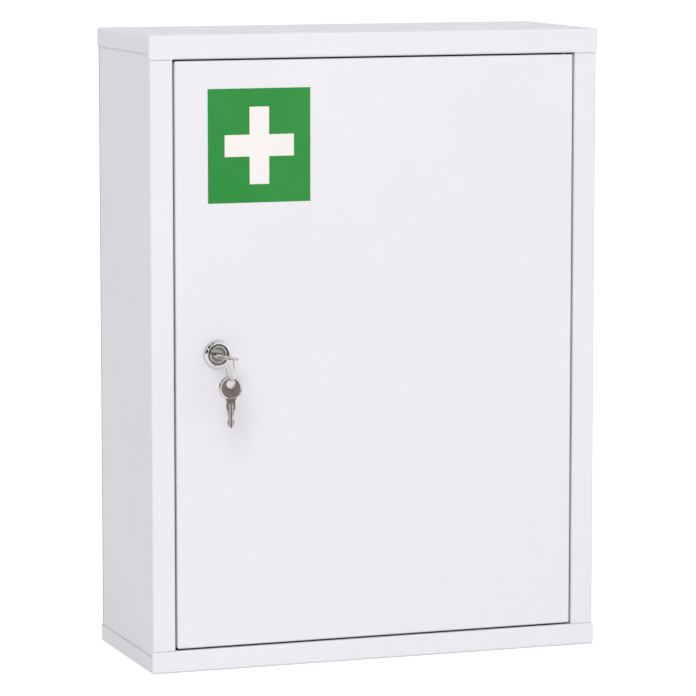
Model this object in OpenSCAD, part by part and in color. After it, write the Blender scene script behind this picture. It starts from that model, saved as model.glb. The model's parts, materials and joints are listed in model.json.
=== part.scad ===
// Lockable medicine cabinet: folded sheet steel, one inset door on pivot pins, a cam lock and its keys.
// The origin is the centre of the footprint on the underside. +Z is up, -Y is the door side.
// Every module is drawn with y = 0 at the front plane, the plane of the door and of the side flanges.

/* [Cabinet] */
// Width over the top cap
cabinet_w = 344; // [320:1:400]
// Height from the bottom pan to the top cap
cabinet_h = 460; // [430:1:560]
// Depth from the lip of the top cap to the back panel
cabinet_d = 134.4; // [120:0.2:180]
// Thickness of the sheet steel
sheet = 0.8; // [0.6:0.1:1]
// Outer radius of every fold
fold_r = 1.8; // [1.5:0.1:2.2]
// Gap in each welded lap seam
seam = 0.1; // [0.05:0.05:0.2]

/* [Top cap and bottom pan] */
// Height of the cap's front lip
cap_front_lip = 17.6; // [15:0.1:24]
// Height of the cap's side lips
cap_side_lip = 13.5; // [9:0.1:16]
// Height of the bottom pan's front lip
pan_front_lip = 15.9; // [15:0.1:24]
// Height of the bottom pan's side lips
pan_side_lip = 12.1; // [9:0.1:16]
// Outer radius of the folded front corners
corner_r = 2; // [1.5:0.1:3]
// Depth of the shelf folded back from a front lip, which carries the hinge bush
lip_return = 12.5; // [10.5:0.5:16]

/* [Side panels] */
// Width of the front flange beside the door
flange_w = 17; // [14:0.1:22]
// Width of the rear flange that the back panel is welded to
rear_flange_w = 14; // [10:1:20]
// Width of the stop lip behind the lock side of the door
stop_lip_w = 10; // [8:0.5:12]

/* [Wall fixing] */
// Diameter of the holes for the wall screws
wall_hole_d = 7; // [5:0.5:9]
// Distance between the wall holes, side to side
wall_hole_span_x = 260; // [200:1:290]
// Distance between the wall holes, up and down
wall_hole_span_z = 340; // [260:1:380]

/* [Door] */
// Depth of the door pan
door_d = 14; // [12:0.5:16]
// Gap between the door and each side flange
door_side_gap = 1.45; // [1.3:0.05:2]
// Gap above and below the door
door_end_gap = 1.2; // [1.1:0.1:1.8]
// Width of the lip folded inwards at the back of the door
door_lip = 9; // [7:0.5:12]
// Radius of the four corners of the door face
door_corner_r = 1.5; // [1:0.1:2.5]
// Width of the stiffening channel
channel_w = 44; // [30:1:70]
// Height of the stiffening channel
channel_h = 330; // [240:1:360]
// Width of each foot of the channel
channel_foot = 12; // [8:1:20]

/* [Hinge] */
// Distance of the hinge pin from the hinge edge of the door
hinge_inset = 6.8; // [6.5:0.05:8]
// Distance of the hinge pin behind the door face
hinge_set_back = 4.2; // [4.1:0.05:4.4]
// Diameter of the hinge pin
hinge_pin_d = 3; // [2.5:0.1:3.5]
// Wall of the nylon bush
bush_wall = 0.95; // [0.8:0.05:1]
// Running clearance of the pin in its bush, on the radius
pin_clearance = 0.05; // [0.03:0.01:0.1]
// Height of each hinge bracket
bracket_h = 16; // [12:1:24]
// Width of the foot of the hinge bracket
bracket_w = 15; // [12:1:18]
// Thickness of the hinge bracket
bracket_t = 1.5; // [1:0.1:2]

/* [Lock] */
// Height of the lock above the underside
lock_z = 230.7; // [200:0.1:260]
// Distance of the lock from the lock edge of the door
lock_inset = 30.7; // [28:0.05:36]
// Diameter of the lock's rim
rim_d = 20; // [19:0.5:24]
// Height of the rim in front of the door
rim_h = 3.2; // [2.5:0.1:4]
// Diameter of the lock's body
barrel_d = 16; // [15.6:0.1:18]
// Diameter of the plug
plug_d = 12.5; // [12:0.1:13]
// Running clearance of the plug in the barrel, on the radius
plug_clearance = 0.05; // [0.03:0.01:0.1]
// Size of the nut across its flats
nut_flats = 20; // [19:0.5:24]
// Thickness of the nut
nut_t = 3; // [2:0.5:4]
// Length of the cam from the plug's axis to its tip
cam_len = 34; // [31:0.5:38]
// Width of the cam
cam_w = 12; // [11:0.5:14]
// Thickness of the cam
cam_t = 2; // [1.5:0.5:2.5]
// Thickness of the stop washer
stop_t = 1; // [0.8:0.1:1.2]
// Side of the square end of the plug
square_w = 7; // [6:0.5:7.5]
// Turn of the key from the unlocked stop, in degrees
key_turn = 8; // [0:1:12]

/* [Keys] */
// Diameter of the key's head
head_d = 17.8; // [17.4:0.1:19]
// Thickness of the key's rims and neck
key_t = 1.8; // [1.6:0.1:2]
// Diameter of the hole in the head
head_hole_d = 5; // [4.8:0.1:5.4]
// Distance of the hole's centre from the centre of the head
head_hole_offset = 3.3; // [3.1:0.1:3.6]
// Distance from the centre of the head to the shoulder
shoulder = 15.4; // [15:0.1:16.5]
// Width of the neck
neck_w = 6.8; // [6.4:0.1:7.2]
// Diameter of the ring's wire
ring_wire_d = 1.2; // [1:0.1:1.3]
// Diameter of the ring on its centre line
ring_d = 18.4; // [18.2:0.1:19.2]

/* [Shelves] */
// Number of shelves
shelf_count = 2; // [2:1:2]
// Height of the lower shelf's top face
shelf_low_z = 158; // [140:1:175]
// Height between the shelves
shelf_step = 142; // [125:1:150]
// Distance of a shelf's front edge behind the front plane
shelf_set_back = 26; // [25:1:40]
// Height of a shelf's lips
shelf_lip = 15; // [12:1:20]
// Depth of the hem under the shelf's front lip
shelf_hem = 7; // [6:0.5:10]
// Width of the rail's foot that carries the shelf
rail_w = 12; // [8:1:16]

/* [First-aid sign] */
// Width of the green film
sign_w = 77.1; // [60:0.1:90]
// Height of the green film
sign_h = 81.8; // [60:0.1:90]
// Distance of the sign from the lock edge of the door
sign_inset = 24.2; // [10:0.05:60]
// Distance of the sign from the top edge of the door
sign_drop = 20.2; // [10:0.1:60]
// Width of the white cross
cross_w = 52.1; // [40:0.1:58]
// Height of the white cross
cross_h = 55.5; // [40:0.1:58]
// Width of the cross's upright arm
cross_upright = 14.7; // [12:0.1:20]
// Height of the cross's level arm
cross_level = 15.7; // [12:0.1:20]
// Thickness of each film
film_t = 0.15; // [0.1:0.05:0.25]

/* [Hidden] */
$fn = 64;

over = 1;                                  // how far a cutting shape runs past what it cuts
rest_gap = 0.3;                            // gap of a loose piece at its seat
proud = sheet + seam;                      // how far the cap and the pan stand outside the body
fold_in = fold_r - sheet;                  // inner radius of a fold
front_y = -cabinet_d / 2 + proud;          // the front plane in the part's own frame
body_d = cabinet_d - proud;                // from the front plane to the rear of the back panel
side_x = cabinet_w / 2 - proud;            // outer face of a side wall
wall_x = side_x - sheet;                   // inner face of a side wall
opening_x = side_x - flange_w;             // half the width of the door opening
opening_top = cabinet_h - cap_front_lip;
opening_bottom = pan_front_lip;
opening_mid = (opening_top + opening_bottom) / 2;
back_front_y = body_d - sheet;             // front face of the back panel

door_x = opening_x - door_side_gap;        // half the width of the door
door_top = opening_top - door_end_gap;
door_bottom = opening_bottom + door_end_gap;
door_h = door_top - door_bottom;

bumper_t = 1.5;
bumper_d = 8;
stop_y = door_d + rest_gap + bumper_t;     // front face of the stop lip
return_y = stop_y + sheet;                 // rear face of the stop lip

hinge_x = door_x - hinge_inset;
pin_r = hinge_pin_d / 2;
bush_r = pin_r + pin_clearance + bush_wall;
collar_r = bush_r + 0.8;
collar_t = 0.7;
pin_end = sheet + 1.5;                     // how far the pin reaches past the opening's edge
tip_gap = 0.1;                             // between the pin's tip and the floor of its bush
bush_floor = 0.8;
pin_head_t = 1.2;
pin_head_r = hinge_set_back - sheet - 0.2; // turns just clear of the back of the door face
groove_w = 0.7;
groove_depth = 0.35;
clip_t = 0.6;
clip_r = pin_head_r;

lock_x = -door_x + lock_inset;
barrel_r = barrel_d / 2;
plug_r = plug_d / 2;
bore_r = plug_r + plug_clearance;
barrel_len = return_y + rest_gap + 0.1 - stop_t;  // the cam then runs just behind the stop lip
rim_dome_r = 2.2;
recess_r = 7.4;                            // the recess in the rim that takes the plug's head
recess_s = -1.4;
plug_head_r = 6.6;
plug_head_chamfer = 0.4;
plug_face_s = -2.9;
dish_r = 4.8;                              // the shallow dish round the keyway
dish_depth = 0.8;
flat_share = 0.875;                        // distance across the barrel's flats, as a share of its diameter
hole_clearance = 0.1;
thread_play = 0.02;                        // on the radius, where a nut, screw or clip grips
nut_s = sheet;

key_width = 5.2;                           // width of the blade at the shoulder
blade_t = 1.7;
blade_len = 13.2;
shoulder_gap = 3.8;                        // the blade's tip stops the key with its shoulder this far out
keyway_clearance = 0.2;
keyway_end_s = plug_face_s - shoulder_gap + blade_len + rest_gap;
wafer_count = 4;
wafer_first_s = 0.6;
wafer_pitch = 1.5;
wafer_t = 0.8;
wafer_h = 5.8;
wafer_len = 10.6;
slot_clearance = 0.1;
guide_r = 7.1;                             // the grooves in the barrel that the wafers spring into
guide_start_s = wafer_first_s - 0.4;
lug_r = [bore_r + 0.25, barrel_r - 0.1];   // inner and outer radius of the stop washer's lug
lug_angle = 24;
lug_depth = 1.4;
turn_range = 90;
screw_r = 2;
screw_head_r = 3.8;
screw_head_t = 2.4;
screw_len = 6;
spring_t = 0.8;
square_end_s = barrel_len + stop_t + cam_t - 0.2;
screw_seat_s = barrel_len + stop_t + cam_t + spring_t;

head_r = head_d / 2;
hole_r = head_hole_d / 2;
rim_w = 1;                                 // width of the raised rims on the key's head
rim_step = 0.2;                            // height of the raised rims on each side
neck_start = 7.4;                          // the thick neck starts and ends this far from the head's centre
neck_end = 11.2;
neck_flare = 1.1;                          // how far each side of the neck spreads where it leaves the head
head_s = plug_face_s - shoulder_gap - shoulder;       // centre of the working key's head
// Half the blade's width at each distance from the shoulder: the wafers' cuts and the pointed tip
blade_cuts = [
    [0, key_width / 2], [1.4, 2.5], [2.2, 2.1], [3.4, 2.3], [4.8, 1.7], [5.6, 1.9], [6.8, 1.6],
    [8.2, 2.4], [10, 2.5], [11.6, 1.9], [12.7, 1], [blade_len, 0.4]
];
groove_x = [-0.75, 1.45];                  // the two long grooves in each face of the blade
blade_groove_w = 1;
blade_groove_depth = 0.4;

ring_r = ring_d / 2;
wire_r = ring_wire_d / 2;
ring_joint_gap = 3;                        // degrees left open where the ends of the wire meet
hole_front_s = head_s - head_hole_offset - hole_r;    // the hole's edge that the ring hangs from
ring_lean = 3.2;                           // how far in front of that edge the slanting wire holds the ring
ring_play = 0.5;                           // lets the wire turn round the edge of the head
// The wire's inner side hangs just over the hole's upper edge
ring_hang = sqrt(pow(ring_r - wire_r - ring_play, 2) - pow(ring_lean, 2));
ring_s = hole_front_s - ring_lean;
ring_drop = ring_hang - key_t / 2;
spare_hole_drop = ring_drop + ring_r + hole_r - wire_r - rest_gap;
spare_drop = spare_hole_drop + head_hole_offset;

shelf_clearance = 1.2;                     // gap between a shelf and each side wall
shelf_back_gap = 0.6;
shelf_back_y = back_front_y - seam - sheet - shelf_back_gap;   // clear of the rear flanges
shelf_x = wall_x - shelf_clearance;
rail_h = 12;
rail_start = shelf_set_back + shelf_hem + 3;
rail_end = shelf_back_y - 6;

sign_x = -door_x + sign_inset + sign_w / 2;
sign_z = door_top - sign_drop - sign_h / 2;

powder_white = "#f1f2f6";

// ---------- shared shapes ----------

// Extrudes a profile drawn in the YZ plane across the cabinet, centred on x = 0
module across(length) {
    rotate([90, 0, 90]) linear_extrude(length, center = true) children();
}

// Extrudes a profile drawn in the XZ plane from y = from back to y = to
module backwards(from, to) {
    translate([0, to, 0]) rotate([90, 0, 0]) linear_extrude(to - from) children();
}

// Extrudes a profile drawn in the XY plane from z = from up to z = to
module upwards(from, to) {
    translate([0, 0, from]) linear_extrude(to - from) children();
}

// The same piece at the other end of the door
module turned_over() {
    translate([0, 0, 2 * opening_mid]) mirror([0, 0, 1]) children();
}

// A folded strip seen on its edge. The path runs along the middle of the sheet and turns at right angles.
module folded(path, t = sheet, outer_r = fold_r) {
    mid_r = outer_r - t / 2;
    last = len(path) - 1;
    for (i = [0 : last - 1]) {
        along = (path[i + 1] - path[i]) / norm(path[i + 1] - path[i]);
        a = path[i] + (i == 0 ? 0 : mid_r) * along;
        b = path[i + 1] - (i == last - 1 ? 0 : mid_r) * along;
        half = t / 2 * [abs(along.y), abs(along.x)];
        low = [min(a.x, b.x), min(a.y, b.y)] - half;
        high = [max(a.x, b.x), max(a.y, b.y)] + half;
        translate(low) square(high - low);
    }
    for (i = [1 : last - 1]) {
        before = (path[i] - path[i - 1]) / norm(path[i] - path[i - 1]);
        after = (path[i + 1] - path[i]) / norm(path[i + 1] - path[i]);
        centre = path[i] + mid_r * (after - before);
        towards = before - after;
        intersection() {
            translate(centre) difference() {
                circle(mid_r + t / 2);
                circle(mid_r - t / 2);
            }
            translate(centre + [min(towards.x, 0), min(towards.y, 0)] * outer_r) square(outer_r);
        }
    }
}

// What rounds off one corner of a rectangle at the origin
module corner_cut(r) {
    difference() {
        translate([-over, -over]) square(r + over);
        translate([r, r]) circle(r);
    }
}

// A rectangle from low to high whose lower and upper corners are rounded, or left square at 0
module rounded(low, high, lower_r, upper_r) {
    difference() {
        translate(low) square(high - low);
        if (lower_r > 0) {
            translate(low) corner_cut(lower_r);
            translate([high.x, low.y]) mirror([1, 0]) corner_cut(lower_r);
        }
        if (upper_r > 0) {
            translate([low.x, high.y]) mirror([0, 1]) corner_cut(upper_r);
            translate(high) mirror([1, 1]) mirror([1, -1]) corner_cut(upper_r);
        }
    }
}

// ---------- cabinet ----------

// The block that a cap's outer or inner surface follows, shrunk by inset. Its top is at z = 0.
module cap_block(front_lip, inset) {
    x = cabinet_w / 2 - inset;
    y = [-proud + inset, body_d + (inset > 0 ? over : 0)];
    z = [-front_lip - (inset > 0 ? over : 0), -inset];
    intersection() {
        upwards(z[0], z[1]) rounded([-x, y[0]], [x, y[1]], corner_r - inset, 0);
        backwards(y[0], y[1]) rounded([-x, z[0]], [x, z[1]], inset > 0 ? 0 : corner_r, fold_r - inset);
        across(2 * x) difference() {
            translate([y[0], z[0]]) square([y[1] - y[0], z[1] - z[0]]);
            translate([y[0], z[1]]) mirror([0, 1]) corner_cut(fold_r - inset);
        }
    }
}

// The cap and the pan are one shape: a sheet, a front lip with a shelf folded back from it, two side lips.
module cap_shell(front_lip, side_lip) {
    return_x = opening_x - seam;
    seam_z = -front_lip + fold_r + 1;      // the front lip meets its folded foot here
    lip_mid_y = -proud + sheet / 2;
    difference() {
        cap_block(front_lip, 0);
        cap_block(front_lip, sheet);
        translate([-cabinet_w, -proud + corner_r, -front_lip - over])
            cube([2 * cabinet_w, cabinet_d, front_lip - side_lip + over]);
        translate([-return_x, -proud - over, -front_lip - over])
            cube([2 * return_x, cabinet_d, seam_z + front_lip + over]);
    }
    difference() {
        across(2 * return_x) folded([
            [lip_mid_y, seam_z],
            [lip_mid_y, -front_lip + sheet / 2],
            [lip_return, -front_lip + sheet / 2]
        ]);
        translate([hinge_x, hinge_set_back, -front_lip - over]) cylinder(r = bush_r, h = sheet + 2 * over);
    }
}

module top_cap() {
    color(powder_white) translate([0, 0, cabinet_h]) cap_shell(cap_front_lip, cap_side_lip);
}

module bottom_pan() {
    color(powder_white) mirror([0, 0, 1]) cap_shell(pan_front_lip, pan_side_lip);
}

// A side panel's plan: rear flange, side wall, front flange, return, and a stop lip on the lock side.
// It is drawn for the right-hand side.
module side_plan(stop_lip) {
    mid = sheet / 2;
    rear_y = back_front_y - seam - mid;
    start = [
        [side_x - rear_flange_w, rear_y],
        [side_x - mid, rear_y],
        [side_x - mid, mid],
        [opening_x + mid, mid]
    ];
    end = stop_lip
        ? [[opening_x + mid, stop_y + mid], [opening_x - stop_lip_w, stop_y + mid]]
        : [[opening_x + mid, return_y]];
    folded(concat(start, end));
}

module side_panel(stop_lip) {
    upwards(fold_r, cabinet_h - fold_r) side_plan(stop_lip);   // clear of the folds inside cap and pan
}

module left_side_panel() {
    color("#d9dade") mirror([1, 0, 0]) side_panel(true);
}

module right_side_panel() {
    color("#d9dade") side_panel(false);
}

module back_panel() {
    color("#e4e5e8") difference() {
        backwards(back_front_y, body_d)
            rounded([-side_x, proud], [side_x, cabinet_h - proud], fold_r, fold_r);
        for (x = [-1, 1], z = [-1, 1])
            translate([x * wall_hole_span_x / 2, back_front_y, cabinet_h / 2 + z * wall_hole_span_z / 2])
                rotate([-90, 0, 0]) translate([0, 0, -over])
                    cylinder(d = wall_hole_d, h = sheet + 2 * over);
    }
}

// Two angles on one side wall, one under each shelf
module shelf_rails() {
    for (i = [0 : shelf_count - 1]) {
        foot_z = shelf_low_z + i * shelf_step - sheet - rest_gap - sheet / 2;
        backwards(rail_start, rail_end) folded([
            [wall_x - sheet / 2, foot_z - rail_h],
            [wall_x - sheet / 2, foot_z],
            [wall_x - rail_w, foot_z]
        ]);
    }
}

module right_shelf_rails() {
    color("#dcdde0") shelf_rails();
}

module left_shelf_rails() {
    color("#dcdde0") mirror([1, 0, 0]) shelf_rails();
}

module door_bumpers() {
    bumper_x = opening_x - stop_lip_w / 2 - sheet / 2;
    color("#3a3a3c") for (z = [opening_bottom + 40, opening_top - 40])
        translate([-bumper_x, stop_y, z]) rotate([90, 0, 0]) cylinder(d = bumper_d, h = bumper_t);
}

// Closed bush, pushed through the upper folded shelf from behind until its collar seats
module hinge_bush() {
    bore_depth = pin_end + tip_gap;
    translate([hinge_x, hinge_set_back, opening_top]) difference() {
        union() {
            cylinder(r = bush_r, h = bore_depth + bush_floor);
            translate([0, 0, sheet]) cylinder(r = collar_r, h = collar_t);
        }
        translate([0, 0, -over]) cylinder(r = pin_r + pin_clearance, h = over + bore_depth);
    }
}

module upper_hinge_bush() {
    color("#e8e6df") hinge_bush();
}

module lower_hinge_bush() {
    color("#e8e6df") turned_over() hinge_bush();
}

// ---------- shelves ----------

// A shelf with a hemmed front lip and a plain rear lip. It lies loose on its rails.
module shelf(i) {
    z = shelf_low_z + i * shelf_step;
    mid = sheet / 2;
    across(2 * shelf_x) folded([
        [shelf_set_back + shelf_hem, z - shelf_lip + mid],
        [shelf_set_back + mid, z - shelf_lip + mid],
        [shelf_set_back + mid, z - mid],
        [shelf_back_y - mid, z - mid],
        [shelf_back_y - mid, z - shelf_lip]
    ]);
}

module lower_shelf() {
    color("#eceded") shelf(0);
}

module upper_shelf() {
    color("#eceded") shelf(1);
}

// ---------- door ----------

// The block that the door pan's outer or inner surface follows, shrunk by inset
module door_block(inset) {
    x = door_x - inset;
    y = [inset, door_d - inset];
    z = [door_bottom + inset, door_top - inset];
    r = fold_r - inset;
    intersection() {
        upwards(z[0], z[1]) rounded([-x, y[0]], [x, y[1]], r, r);
        backwards(y[0], y[1])
            rounded([-x, z[0]], [x, z[1]], door_corner_r - inset, door_corner_r - inset);
        across(2 * x) rotate(90) mirror([0, 1]) rounded([z[0], y[0]], [z[1], y[1]], r, r);
    }
}

module door_panel() {
    lip_x = door_x - door_lip;
    color(powder_white) difference() {
        door_block(0);
        door_block(sheet);
        backwards(door_d / 2, door_d + over)
            rounded([-lip_x, door_bottom + door_lip], [lip_x, door_top - door_lip], 0, 0);
        at_lock() linear_extrude(2 * sheet + over, center = true) barrel_outline(hole_clearance);
        translate([hinge_x, hinge_set_back, door_bottom - over])
            cylinder(r = pin_r + hole_clearance, h = door_h + 2 * over);
    }
}

// A hat channel, welded by its feet to the inside of the door face
module door_channel() {
    foot_y = sheet + sheet / 2;
    crown_y = door_d - sheet - 2;
    half = channel_w / 2;
    color("#d5d6d9") upwards(opening_mid - channel_h / 2, opening_mid + channel_h / 2) folded([
        [-half - channel_foot, foot_y],
        [-half, foot_y],
        [-half, crown_y],
        [half, crown_y],
        [half, foot_y],
        [half + channel_foot, foot_y]
    ]);
}

bracket_foot_z = door_top - sheet - bracket_h;        // middle of the bracket's level foot

// An angle in the upper hinge corner of the door. Its level foot holds the pin.
module hinge_bracket() {
    leg_x = door_x - sheet - bracket_t / 2;
    difference() {
        backwards(sheet + 0.1, door_d - fold_r) folded([
            [leg_x, door_top - sheet - door_corner_r],
            [leg_x, bracket_foot_z],
            [leg_x - bracket_w, bracket_foot_z]
        ], bracket_t, bracket_t + fold_in);
        translate([hinge_x, hinge_set_back, bracket_foot_z - bracket_t])
            cylinder(r = pin_r + hole_clearance, h = 2 * bracket_t);
        // room for the fold along the door's edge
        translate([door_x - fold_r, 0, bracket_foot_z - bracket_t]) cube([fold_r, fold_r, 2 * bracket_h]);
    }
}

module upper_hinge_bracket() {
    color("#b9bbbf") hinge_bracket();
}

module lower_hinge_bracket() {
    color("#b9bbbf") turned_over() hinge_bracket();
}

clip_z = bracket_foot_z + bracket_t / 2 + 0.1;

// A headed pin, pushed up from inside the door through bracket, door and bush
module hinge_pin() {
    head_top = bracket_foot_z - bracket_t / 2;
    tip = opening_top + pin_end;
    chamfer = 0.4;
    translate([hinge_x, hinge_set_back, 0]) rotate_extrude() polygon([
        [0, head_top - pin_head_t],
        [pin_head_r - chamfer, head_top - pin_head_t],
        [pin_head_r, head_top - pin_head_t + chamfer],
        [pin_head_r, head_top],
        [pin_r, head_top],
        [pin_r, clip_z],
        [pin_r - groove_depth, clip_z],
        [pin_r - groove_depth, clip_z + groove_w],
        [pin_r, clip_z + groove_w],
        [pin_r, tip - chamfer],
        [pin_r - chamfer, tip],
        [0, tip]
    ]);
}

module upper_hinge_pin() {
    color("#c9cacd") hinge_pin();
}

module lower_hinge_pin() {
    color("#c9cacd") turned_over() hinge_pin();
}

// An open clip in the groove of the pin
module pin_clip() {
    grip_r = pin_r - groove_depth + thread_play;
    mouth = 2 * grip_r - 0.6;
    translate([hinge_x, hinge_set_back, clip_z + (groove_w - clip_t) / 2])
        linear_extrude(clip_t) difference() {
            circle(clip_r);
            circle(grip_r);
            translate([-clip_r - over, -mouth / 2]) square([clip_r + over, mouth]);
        }
}

module hinge_pin_clips() {
    color("#8f9196") {
        pin_clip();
        turned_over() pin_clip();
    }
}

module sign_film() {
    color("#349240") backwards(-film_t, 0)
        translate([sign_x, sign_z]) square([sign_w, sign_h], center = true);
}

module sign_cross() {
    color("#f9f6f1") backwards(-2 * film_t, -film_t) translate([sign_x, sign_z]) {
        square([cross_upright, cross_h], center = true);
        square([cross_w, cross_level], center = true);
    }
}

// ---------- lock ----------

// The lock's own frame: local +Z runs into the cabinet from the door face, local +Y points down
module at_lock() {
    translate([lock_x, 0, lock_z]) rotate([-90, 0, 0]) children();
}

// The same frame turned with the plug
module at_plug() {
    at_lock() rotate(key_turn) children();
}

// Round body with two flats, which keep the barrel from turning in the door
module barrel_outline(clearance) {
    across_flats = barrel_d * flat_share + 2 * clearance;
    intersection() {
        circle(barrel_r + clearance);
        square([barrel_d + over, across_flats], center = true);
    }
}

// A wedge of the plane about the origin, from one angle to another
module wedge(from, to) {
    steps = 8;
    far = 2 * barrel_d;
    polygon(concat([[0, 0]], [
        for (i = [0 : steps]) let (a = from + (to - from) * i / steps) far * [cos(a), sin(a)]
    ]));
}

// Profile of the barrel's front: rim with a domed edge and a recess for the plug's head
module rim_profile() {
    difference() {
        union() {
            translate([0, -rim_h + rim_dome_r]) square([rim_d / 2, rim_h - rim_dome_r]);
            translate([0, -rim_h]) square([rim_d / 2 - rim_dome_r, rim_h]);
            intersection() {
                translate([rim_d / 2 - rim_dome_r, -rim_h + rim_dome_r]) circle(rim_dome_r);
                translate([rim_d / 2 - rim_dome_r, -rim_h]) square(rim_dome_r);
            }
        }
        translate([-over, -rim_h - over]) square([over + recess_r, over + rim_h + recess_s]);
        translate([-over, recess_s - over]) square([over + bore_r, over - recess_s + over]);
    }
}

lug_start = 90 + 20;                        // angle of the lug's first side in the plug's frame

module lock_barrel() {
    color("#cfd0d4") at_lock() {
        rotate_extrude() rim_profile();
        difference() {
            linear_extrude(barrel_len) barrel_outline(0);
            translate([0, 0, -over]) cylinder(r = bore_r, h = barrel_len + 2 * over);
            // grooves that the wafers spring into
            intersection() {
                translate([0, 0, guide_start_s]) cylinder(r = guide_r, h = keyway_end_s);
                translate([-guide_r, -wafer_h / 2 - slot_clearance, guide_start_s])
                    cube([2 * guide_r, wafer_h + 2 * slot_clearance, keyway_end_s]);
            }
            // the notch that the stop washer's lug turns in
            translate([0, 0, barrel_len - lug_depth - slot_clearance]) linear_extrude(lug_depth + over)
                wedge(lug_start - 1, lug_start + lug_angle + turn_range + 1);
        }
    }
}

module lock_nut() {
    color("#c3c4c8") at_lock() translate([0, 0, nut_s]) difference() {
        cylinder(d = nut_flats / cos(30), h = nut_t, $fn = 6);
        translate([0, 0, -over]) cylinder(r = barrel_r + thread_play, h = nut_t + 2 * over);
    }
}

// The plug: head in the rim's recess, keyway, slots for the wafers, square end for washer and cam
module lock_plug() {
    keyway_w = key_width + 2 * keyway_clearance;
    keyway_h = blade_t + 2 * keyway_clearance;
    color("#b8b4ac") at_plug() difference() {
        union() {
            rotate_extrude() polygon([
                [0, plug_face_s + dish_depth],
                [dish_r, plug_face_s + dish_depth],
                [dish_r + dish_depth / 2, plug_face_s],
                [plug_head_r - plug_head_chamfer, plug_face_s],
                [plug_head_r, plug_face_s + plug_head_chamfer],
                [plug_head_r, recess_s - plug_clearance],
                [plug_r, recess_s - plug_clearance],
                [plug_r, barrel_len - plug_clearance],
                [0, barrel_len - plug_clearance]
            ]);
            translate([-square_w / 2, -square_w / 2, plug_face_s + 2])
                cube([square_w, square_w, square_end_s - plug_face_s - 2]);
        }
        translate([-keyway_w / 2, -keyway_h / 2, plug_face_s - over])
            cube([keyway_w, keyway_h, keyway_end_s - plug_face_s + over]);
        for (i = [0 : wafer_count - 1])
            translate([0, 0, wafer_first_s + i * wafer_pitch - slot_clearance])
                linear_extrude(wafer_t + 2 * slot_clearance)
                    square([2 * plug_d, wafer_h + 2 * slot_clearance], center = true);
        translate([0, 0, screw_seat_s - screw_len - over])
            cylinder(r = screw_r + thread_play, h = screw_len + 2 * over);
    }
}

// Brass wafers, drawn back level with the plug as the working key holds them
module lock_wafers() {
    window = [key_width + 2 * keyway_clearance, blade_t + 2 * keyway_clearance];
    color("#c9a74e") at_plug() for (i = [0 : wafer_count - 1])
        translate([0, 0, wafer_first_s + i * wafer_pitch]) linear_extrude(wafer_t) difference() {
            square([wafer_len, wafer_h], center = true);
            square(window, center = true);
        }
}

// A washer on the square end. Its lug turns in the barrel's notch and stops the plug at both ends.
module stop_washer() {
    color("#bfc0c4") at_plug() difference() {
        union() {
            translate([0, 0, barrel_len]) cylinder(r = barrel_r, h = stop_t);
            translate([0, 0, barrel_len - lug_depth])
                linear_extrude(lug_depth + stop_t / 2) intersection() {
                    difference() {
                        circle(lug_r[1]);
                        circle(lug_r[0]);
                    }
                    wedge(lug_start, lug_start + lug_angle);
                }
        }
        translate([0, 0, barrel_len - over]) linear_extrude(stop_t + 2 * over)
            square(square_w + 2 * slot_clearance, center = true);
    }
}

module cam() {
    tip_r = cam_w / 2 - 1;
    color("#bfc0c4") at_plug() translate([0, 0, barrel_len + stop_t]) linear_extrude(cam_t) difference() {
        union() {
            circle(cam_w / 2);
            translate([-tip_r, 0]) square([2 * tip_r, cam_len - tip_r]);
            translate([0, cam_len - tip_r]) circle(tip_r);
        }
        square(square_w + 2 * slot_clearance, center = true);
    }
}

module spring_washer() {
    split = 0.6;
    color("#a9abb0") at_plug() translate([0, 0, screw_seat_s - spring_t])
        linear_extrude(spring_t) difference() {
            circle(screw_head_r + 0.2);
            circle(screw_r + hole_clearance);
            translate([0, -split / 2]) square([screw_head_r + over, split]);
        }
}

// Pan-head screw with a cross recess
module cam_screw() {
    recess_w = 1;
    recess_len = 4.4;
    recess_depth = 1.4;
    color("#b4b6bb") at_plug() difference() {
        union() {
            translate([0, 0, screw_seat_s - screw_len]) cylinder(r = screw_r, h = screw_len);
            translate([0, 0, screw_seat_s]) rotate_extrude() intersection() {
                translate([0, screw_head_t - screw_head_r * 1.4]) circle(screw_head_r * 1.4);
                square([screw_head_r, screw_head_t]);
            }
        }
        for (a = [0, 90]) rotate(a)
            translate([-recess_len / 2, -recess_w / 2, screw_seat_s + screw_head_t - recess_depth])
                cube([recess_len, recess_w, recess_depth + over]);
    }
}

// ---------- keys ----------

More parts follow.
